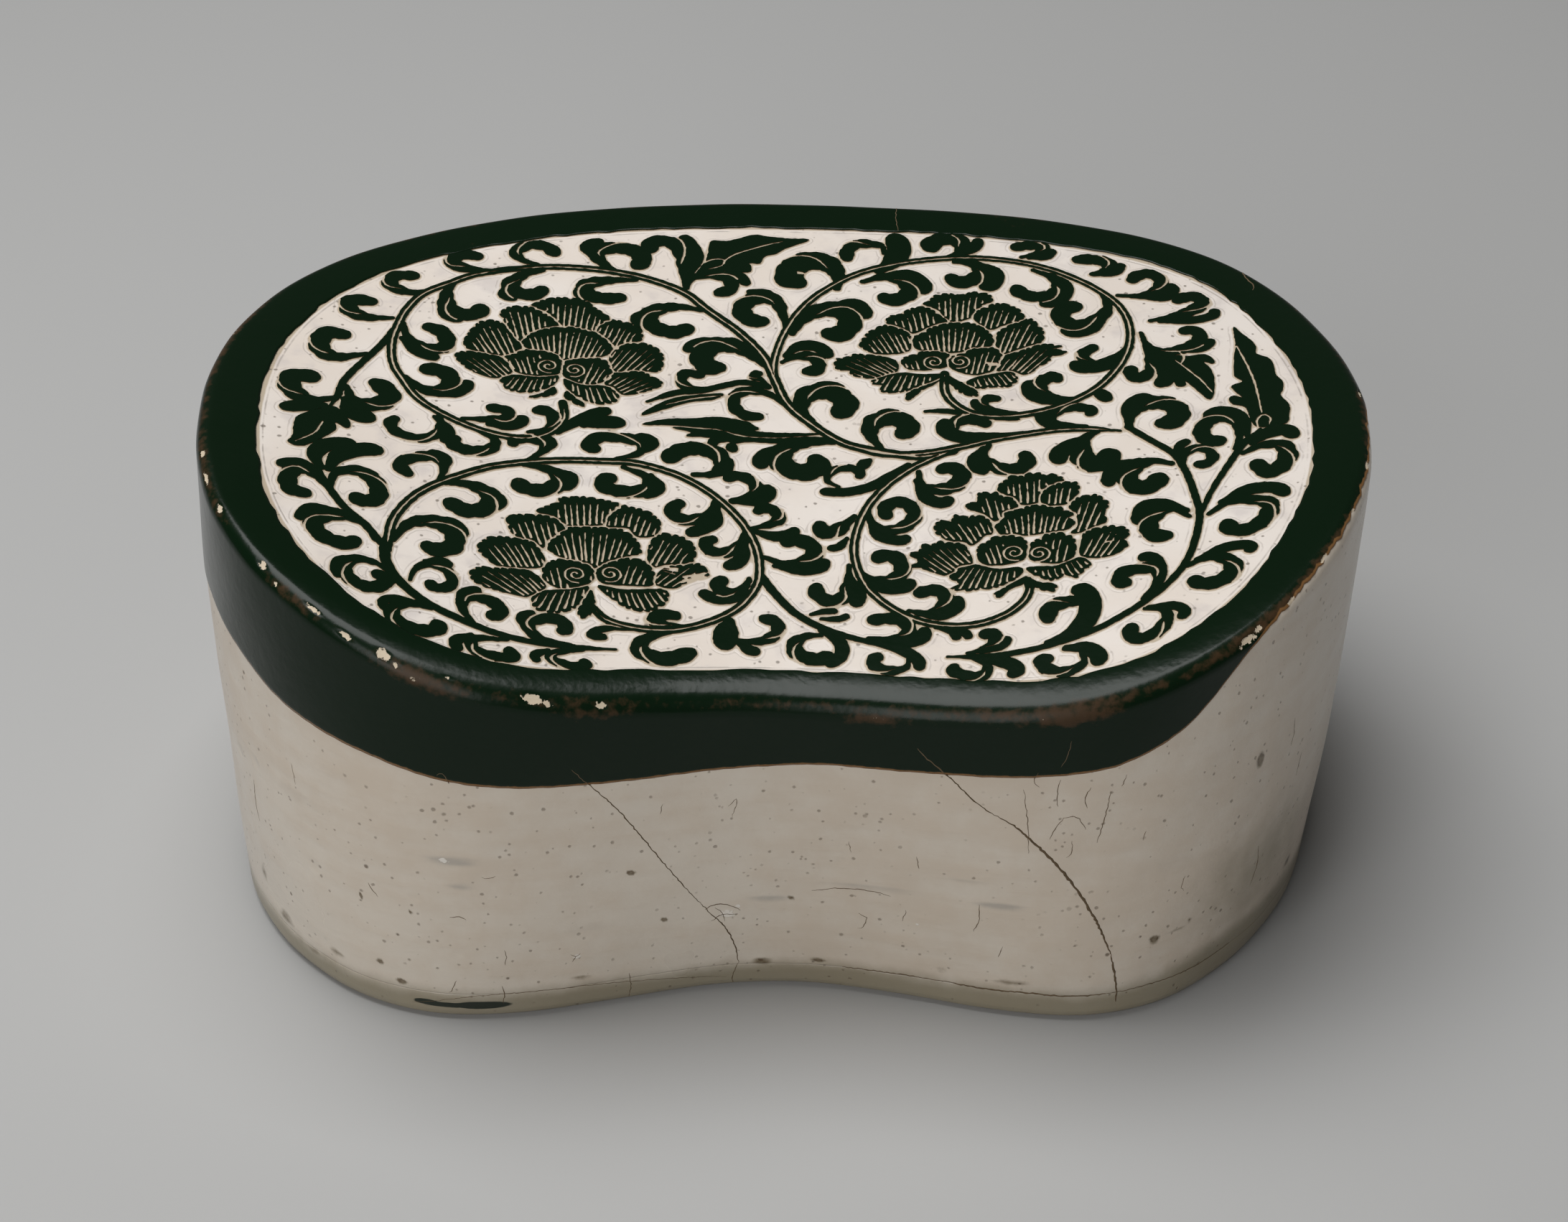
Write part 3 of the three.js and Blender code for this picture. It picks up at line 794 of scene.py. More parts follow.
    (1.6, -12, -77.3, -6, -77.2, -2.2, -74, -2.7, -70.3, -6.3, -69.2),
    (2.0, 8.5, -74.6, 4.5, -75.2, 1.9, -78, 3.2, -81.5, 7.5, -83, 11, -81.6),
    (1.9, 15.5, -50, 15.2, -56.5, 14, -61.3, 10.5, -62.7, 7.5, -60.3, 7.5, -57),
    (1.9, 20.5, -27, 20.8, -32.5, 23.8, -36.6, 29, -36, 32.2, -31.5, 30.8, -27.3, 27.5, -26.2, 24.8, -28.3,
        25, -32),
    (2.2, 33.5, -14.5, 34.3, -20, 38.5, -21.6, 43, -19.8, 44.6, -15.8, 42, -13, 39, -13.7),
    (2.1, 52, -4, 50.3, -9, 54, -13.6, 59, -14.2, 61.5, -11.3, 60.9, -8),
    (3.0, 80, 0, 76, -4, 75.5, -10.3, 78, -14, 81.5, -12.8, 83, -9),
    (1.8, 30, -66.5, 35.5, -67.5, 38.8, -64.5, 38.8, -60.8, 35.8, -59.2, 32, -60.6),
    (1.8, 20, -75.7, 26, -76.3, 29.8, -74.3, 29, -70.5, 25, -68.9, 20.5, -69.6),
    (1.5, 29.5, -83.3, 29, -86, 25, -87, 21.5, -85.3, 21, -82.8, 23, -82),
    (1.6, 44, -82.3, 49, -80.8, 50.8, -78, 50.3, -75.6, 47.5, -76.2),
    (2.1, 73.5, -70, 71.8, -67, 68, -66.7, 64.8, -68, 63.7, -71, 63.8, -73),
    (1.6, 45, -84, 48.3, -86.5, 47.8, -89.8, 44.5, -90.3, 40.3, -88, 41, -86),
    (1.7, 71, -85.5, 71.5, -89, 67, -91.6, 62.5, -89.8, 61.3, -87, 63.8, -86),
    (1.9, 87, -68.5, 91, -63, 91.2, -58, 87, -57, 82.7, -58, 81.8, -61, 84, -62),
    (1.8, 87, -72.3, 91, -73.3, 92.3, -76.5, 89.5, -81.3, 85.5, -83, 82.9, -81.3, 83.7, -77.9),
    (2.2, 98.5, -58, 104, -55.8, 108.6, -58, 109.2, -62.5, 105.5, -65.7, 101.2, -65.7, 99.5, -63.5),
    (2.6, 98, -16, 93, -14.3, 87.8, -17, 86.3, -21, 89, -25.2, 93, -23.8, 94.8, -20.6),
    (2.3, 100.5, -38.5, 96.5, -34.3, 91.8, -36.8, 90.2, -41.3, 91.7, -44.7, 95.3, -45.3),
    (2.2, 105.5, -38.5, 111, -34.5, 117.5, -35.2, 120.7, -38, 118.8, -43.3, 114.5, -46.7, 110.3, -46,
        109.6, -42.3),
    (2.4, 116, -14.5, 121, -12, 126, -12.5, 127.3, -17, 125.3, -21.8, 122, -24, 119.8, -21.3, 119.3, -19),
    (1.5, 101, -19, 101.2, -13.5, 104, -10.4, 107.5, -11.3, 108.5, -14.8, 106.5, -17.5, 103.9, -17.2),
    (2.1, 114.5, -12, 116.2, -6, 115.8, 0, 112, 2.6, 108, 0.4, 106.6, -4.5, 108.7, -8, 111.8, -7.4),
    (1.6, -91, 0.5, -89.5, -4.5, -90, -10.5, -94.5, -13.5, -100, -12, -102, -8.5, -100.5, -5.8),
]

# Blunt lobes behind the curls, in the same form
lobes = [
    (2.3, -119, -5, -124, -6.5, -129, -8.5),
    (3.0, -114, -1, -111.5, -6, -107, -7.8),
    (1.9, -102.5, 30, -98, 24.7, -92.8, 22.6),
    (2.2, -92, 6.8, -86.5, 8.5, -83.5, 13),
    (2.0, -93.5, 49, -91.8, 43, -88, 41),
    (1.8, -76.8, 58, -77, 54, -74.3, 52.5),
    (2.0, -54.5, 74, -56, 78.5, -52.5, 81.3),
    (2.2, -27.5, 67, -26, 76, -29.5, 84.5),
    (1.7, -56.3, 61, -57, 56.5, -54.3, 54.5),
    (1.8, -38.8, 50, -41, 46.5, -39.5, 43.5),
    (2.3, -77, -3.8, -71.5, -3, -68.3, 0),
    (1.8, -59.5, -4.5, -54.5, 1, -50.5, 4.5, -46.8, 6.2),
    (2.4, -53, -0.5, -48, 1.3, -43.2, 1.5),
    (2.0, -38, -10, -35.3, -5.8, -38.8, -3.5),
    (1.5, -62.3, -12.5, -60.8, -9, -63.3, -6.8),
    (1.8, -58.5, -20, -55, -22.5, -56.3, -26.8),
    (1.9, -35, -19, -33, -23.5, -36.3, -26.8),
    (1.9, -75.5, -31, -72.3, -34.5, -74.3, -38),
    (1.6, -86.8, -25, -87, -20.5, -91, -18.5),
    (1.9, -89, -45.3, -83, -46, -80, -49.6),
    (2.6, -115, -32, -113, -25.5, -107.5, -21.5, -103.5, -21),
    (2.4, -117, -32, -119, -27, -116.5, -22, -110.5, -19.6),
    (1.8, -117, -34, -122.5, -31.8, -127, -33.8),
    (1.5, -79, -76, -78.3, -71.5, -74.8, -69.3),
    (1.4, -63, -80.5, -64, -76.8, -61.3, -74.8),
    (1.5, -75.5, -86, -79, -89, -78, -92),
    (1.1, -57, -87, -60.2, -89.3, -59.3, -91.5),
    (1.6, -111, -48.5, -117.5, -49.5, -119.7, -54.8),
    (0.9, -105, -65, -108.8, -67.5, -109.5, -71.5, -107.8, -74.5),
    (1.2, -88.5, -62, -84.5, -60.8, -82.3, -62.5),
    (1.2, -89, -77.8, -94.5, -78, -97, -80, -96, -82.7),
    (1.6, -20, 68, -14, 67.5, -11.8, 63.7),
    (1.2, -3, 56.5, -6.3, 60.3, -11.5, 60.2),
    (3.3, 24.5, 71.5, 27.8, 75, 30, 80, 30, 84, 28.8, 87.5),
    (2.3, 11, 55, 18, 56, 21, 50.8),
    (2.6, 25.5, 69, 32.5, 69.5, 36.2, 65.5, 36.3, 62.3),
    (1.7, 45.5, 79.5, 51, 83, 52.5, 87),
    (2.4, 51, 76, 56.3, 71.3, 55.3, 66, 52.8, 65),
    (2.4, 72, 70.5, 75.3, 66, 73.8, 60, 69, 57),
    (1.9, 85.3, 52, 82, 46, 77.2, 43.6, 73.8, 45),
    (1.3, 66, 78.8, 71, 79.5, 73, 82.8),
    (1.4, 83.5, 71, 89.5, 72.3, 91.6, 76.3),
    (1.8, 95, 60.3, 102, 60, 104.5, 63, 104.3, 66),
    (1.6, 100, 48.3, 108, 48.4, 114, 50.3, 115.3, 53.3),
    (1.6, 103, 33.9, 110, 35, 113, 38.5),
    (2.3, 98.3, 33, 100, 27, 99.3, 21, 97.3, 19),
    (2.0, 88.3, 2, 89, 9.3, 92, 13, 94.8, 13),
    (2.0, 77, 2, 70, 2.9, 66.5, 6, 66.8, 9),
    (2.3, 74.5, 14, 68.5, 14.3, 64.2, 16.8, 63.5, 21.8),
    (2.5, 91, 37, 88, 32, 83, 28.6, 78, 28, 75.7, 29.7),
    (2.1, 81.3, 17.5, 83.3, 14, 83.3, 13.3),
    (2.3, 61, 0, 52, -1.2, 45, -0.7, 41, 2, 41, 6),
    (1.6, 59.5, 8.7, 53.5, 9.7, 49.8, 12, 49, 14.5),
    (0.9, 35.8, 10.2, 41, 10.3, 45.5, 9.3),
    (0.5, 54, 6.5, 57.5, 6.4, 60.3, 6.3),
    (2.0, -17, 38.3, -24, 37, -27.3, 33.8),
    (2.0, -0.8, 33, 2.5, 37, 7.5, 37.2, 10.8, 33.3),
    (2.1, 5, 17.5, 9.5, 20.3, 14, 19.3),
    (1.6, 22, 6, 25.3, 9.4, 29, 9.2),
    (1.6, -20, -17.7, -16, -15, -15.3, -10.8),
    (1.3, -14, -2.8, -18.5, -3, -20, -5.8),
    (1.9, -14.8, -5.3, -14.4, -6.3, -14.2, -7),
    (2.0, -14, -27, -7.5, -26.3, -4.9, -23.5, -5.7, -21),
    (1.7, -8.5, -38, -3, -39.7, 1.2, -38.3, 1.7, -36.7),
    (1.5, -3, -50.5, 3, -52, 8.3, -51, 9.6, -48),
    (1.8, -18, -29, -18, -35, -21.5, -38.3, -24.8, -40),
    (1.9, -10.5, -42, -11.7, -49, -15, -51.5),
    (2.3, -2, -5, -6.5, -9.5, -6.8, -13),
    (1.5, 31, -11.5, 26.5, -15.5, 21.5, -20, 15, -22.3, 8.7, -22.2),
    (1.6, 21, -9.8, 19.3, -11.5, 19, -12.8),
    (1.1, 15, -40, 13, -43.1, 10.3, -43.7),
    (1.7, 19, -54, 24, -58.2, 29, -58.2, 31, -55.8),
    (1.6, -9.3, -56, -12, -61.8, -17, -63.4, -21, -61.2),
    (3.0, -14, -71, -14.8, -76, -14.8, -79.5),
    (1.5, -11.3, -78.5, -8.3, -80.7, -6.8, -80.2),
    (1.7, 8.5, -73, 13, -77, 13.3, -81.5, 10.3, -84.7),
    (2.0, 16, -55, 17.6, -60, 17, -64),
    (0.9, 6, -67.5, 9, -66.5, 12.5, -66.2),
    (0.9, 8.5, -69, 13, -69, 15.3, -67.5),
    (1.7, 20.8, -33, 23, -38.8, 28, -40.8, 30.3, -39.8),
    (1.9, 33, -18, 35.2, -24.5, 39, -26.8, 41.3, -25.3),
    (2.2, 50.5, -5.5, 48.2, -11, 50.3, -15),
    (2.5, 77, -2.5, 70.3, -8, 69.5, -12),
    (1.7, 32, -67.3, 37.5, -68.5, 41.7, -65.8, 42, -62.5),
    (1.7, 22, -76.3, 29, -77.5, 33.2, -76, 33.7, -73),
    (1.5, 22, -77.5, 28, -80, 31.8, -83.5, 32.2, -86.7),
    (1.3, 36.5, -72.5, 40.5, -74, 41.5, -77),
    (1.2, 40, -73.5, 43.5, -75, 44.3, -77),
    (1.2, 47, -82, 52.3, -80.2, 53.8, -77.5),
    (2.7, 63.5, -81, 69, -78.3, 73, -73.5, 74.2, -67.5, 72.7, -63, 71, -63),
    (1.9, 48, -85, 53.3, -86.5, 55.5, -89, 54, -90.8),
    (2.1, 67.5, -83.3, 72.3, -83.9, 75, -87, 74.5, -89.8),
    (1.8, 90.5, -64, 91.7, -57.5, 90.3, -53.3, 87.5, -52.7),
    (1.4, 88, -72, 94, -72.5, 96.5, -75, 95.3, -77.5),
    (1.7, 101, -56.3, 108, -53, 113.7, -53.2, 114, -55.8),
    (1.9, 90, -13.5, 83.8, -15.5, 81.8, -20, 81.7, -22.7),
    (2.0, 100, -36, 95, -32.4, 90, -32.7, 88.2, -37, 88.2, -39),
    (2.2, 109, -34.5, 116, -30.5, 122.5, -31, 124.8, -34.2),
    (2.3, 119, -10.5, 123, -6.8, 127.7, -6, 129.7, -9.3),
    (1.3, 99.8, -14, 100.5, -9, 103, -6.8),
    (1.5, 118, -7, 118.3, -1, 116.2, 3.8, 112, 5.7, 108.3, 3.6),
    (1.4, -91, -3.5, -86.8, -9, -88, -13.5),
]

# Vines: half width at both ends, 1 where a groove is cut along the middle, then the line
vines = [
    (1.4, 1.2, 1, 42.5, -6.3, 34, -8.3, 24.7, -6.5, 14.7, -3.2, 6.3, 4.3, -0.3, 12.7, -3.7, 22.7, -7, 32.7,
        -13.7, 42.7, -22, 51.5, -29, 59.3, -40, 65, -52, 67.8, -65, 68.2, -77, 66),
    (1.2, 1.1, 1, -77, 66, -86, 62.5, -92, 58, -98.7, 52, -102.5, 44, -104.2, 36, -105, 28, -104, 19,
        -101, 12, -95.3, 3, -85.3, -4, -75.3, -7.8, -67, -8, -61.2, -4.5, -58.2, 1.5, -58.8, 8),
    (0.9, 0.9, 0, -104.5, 35, -108, 25, -112.5, 15, -115.5, 7, -116.3, 0, -118, -6),
    (1.2, 1.05, 1, -98, -60, -97.8, -50, -96, -43, -92.5, -36, -87, -29.8, -77, -22.2, -70, -19, -63, -16.8,
        -55, -15.3, -47, -14.6, -40, -14.3, -33, -16, -26, -19.3, -18.5, -25.5, -12, -34, -8, -43, -6.8, -51,
        -7.5, -58, -11.5, -65.5, -18, -71, -27, -75, -36, -75.7, -43.5, -74, -47, -70.5),
    (0.9, 1.0, 0, -99.5, -58, -104, -52, -110, -46, -114.5, -39, -117, -33),
    (1.3, 0.6, 0, -98.5, -60, -97.5, -65, -94, -71, -88, -76.5, -80, -80.5, -70, -83.8, -60, -85, -48, -84.5,
        -41, -83.8),
    (1.0, 1.2, 1, -3.5, 22, -4, 30, -1.5, 42, 3, 53, 9, 61.5, 18, 69.5, 28, 74.3, 38, 77, 48, 78.3, 58, 77.7,
        67, 75.5, 75, 71.5, 83, 65, 89, 57, 91.5, 48, 91, 38, 87.5, 28, 81.5, 19, 74, 13, 66, 9.3, 57, 7.7,
        49.5, 8.6, 44.5, 12, 41.3, 18, 41.3, 26),
    (1.3, 1.0, 1, 14.7, -3.2, 24, -7, 34, -7.2, 44, -4.8, 52, -2.2, 61, -0.2, 70, 1.2, 78, 1, 86, -0.5),
    (0.9, 0.8, 0, 88, 1, 94, -6, 98.8, -12, 101.3, -20, 102.7, -30, 103.2, -38, 101.5, -47, 98.5, -56,
        94, -63, 88, -69, 80, -74.8, 73, -78.5, 62, -82, 50, -83.7, 39, -83),
    (0.6, 1.0, 0, 103.4, -38, 107, -29, 112, -19, 117, -10, 121.5, -4.5),
    (1.1, 1.05, 1, 44, -5, 36, -9.8, 30, -14.5, 24, -21.5, 19.5, -30, 17, -40, 17, -48, 19.5, -57, 24.5, -64,
        31, -69.3, 38, -72, 46, -72.3, 53, -69.8, 57.8, -65.5, 59.8, -61, 59.5, -57.5),
    (1.1, 0.6, 0, -6.7, -54, -2.5, -61, 2.5, -67.5, 8.5, -72, 16, -75.5, 24, -78.5, 31, -83),
    (1.0, 1.0, 0, -5.5, 19.5, -12, 21, -18, 18.9, -23, 16.8, -30, 15.2, -37, 11),
]

# Pointed leaves: outline, then the incised lines in it
blades = [
    ([5.1, 84.9, -1.4, 80.6, -3.8, 78.2, -7.1, 76.7, -8.3, 73.4, -11.4, 73.5, -10.7, 71.9, -11.1, 69.4,
        -14.8, 69.3, -19.3, 69.4, -23.5, 68.4, -26.1, 66.9, -23.5, 72.8, -22.6, 77, -22.4, 80, -21.7, 83.1,
        -17.8, 83.1, -14.5, 84.3, -10.1, 86.4, -6.2, 85.8, -0.2, 85.1],
     [[-2.1, 83.7, -6.2, 82.1, -12.1, 79.1, -15.7, 76.7, -17.8, 74.3, -18.7, 71.9, -22.3, 70],
      [-23.5, 72.8, -21.7, 74.3, -19.3, 74.9, -17.8, 74.3]]),
    ([119.4, 44.4, 121.1, 41.3, 123.5, 37.1, 124.3, 34.1, 124, 31, 127, 28.5, 127.9, 25.2, 128.1, 19.9,
        129.4, 16.9, 129.1, 12.7, 128.2, 10.3, 129.7, 6.2, 130, 4.4, 129.4, 0.8, 128.5, -2.8, 124.6, -3.7,
        121.3, -3.5, 119.8, -1, 119.5, 2, 118.7, 6.2, 115.7, 8, 115.1, 10.9, 116.6, 11.5, 118.7, 10.3,
        116.6, 14.5, 116.3, 16.3, 119.3, 18.1, 117.5, 21, 117.8, 25.8, 118.4, 31.2, 119.2, 35.9],
     [[119.3, 35.3, 120.5, 29.4, 121.7, 22.2, 122.4, 15.1, 122.7, 2.6],
      [121.1, -4, 121.1, -0.4, 122.9, 2, 124.6, 0.2, 124, -2.8]]),
    ([100.5, 31.5, 103.8, 31.8, 106.2, 31.2, 110.4, 31.8, 112.6, 29.4, 112.4, 27.3, 109.8, 28.5, 111.3, 25.2,
        111.9, 22.2, 111.9, 18.7, 111.2, 13.3, 109.8, 10.9, 107.4, 15.1, 104.5, 20, 104.4, 18.1, 102.6, 17.5,
        101.6, 19.6, 102.2, 24.6, 101, 28.8],
     [[102.6, 29.7, 103.8, 27.9, 106.2, 24, 108.6, 19.9, 111, 13.9],
      [103.8, 34, 105, 31.2, 104.1, 28.2]]),
    ([-125.2, -12.3, -125.2, -20.6, -126.1, -23.6, -121.9, -23.9, -115.4, -15.3, -115.7, -11.7,
        -112.4, -13.5, -112.1, -10.5, -116, -5.1, -120, -7],
     [[-118.7, -12.3, -120.1, -17.6, -124.3, -22.7]]),
    ([9, 0.7, 3, 0.6, -5, 0.5, -8.6, 1, -11, 2.5, -12, 4.8, -17, 6, -20.8, 5.8, -26, 4.8, -31, 4.3, -36, 2.6,
        -37.5, 1.4, -31, 1.9, -22, 1.6, -18, 1.2, -13, -0.5, -8, -1.2, 0, -0.9],
     []),
    ([-30, 1.0, -22, 0.8, -17.5, 0.5, -12, -1.6, -3, -1.8, 5, -0.8, 12, -1.2, 6, -3, 0, -3.7, -10, -3.4,
        -14, -4.3, -17, -2.8, -22, -2.2, -26.5, -2.2, -25, -0.6],
     []),
    ([-13.5, 4.8, -10.5, 4.6, -9, 3, -7.5, 2, -10, 1.3, -12, 2.6],
     []),
    ([-17, 15.8, -22, 15.2, -30, 13, -36, 8.3, -38.2, 5.2, -32, 8.6, -26, 11.8, -20, 13.3],
     [[-18, 15, -25, 13.3, -32, 10.2]]),
]

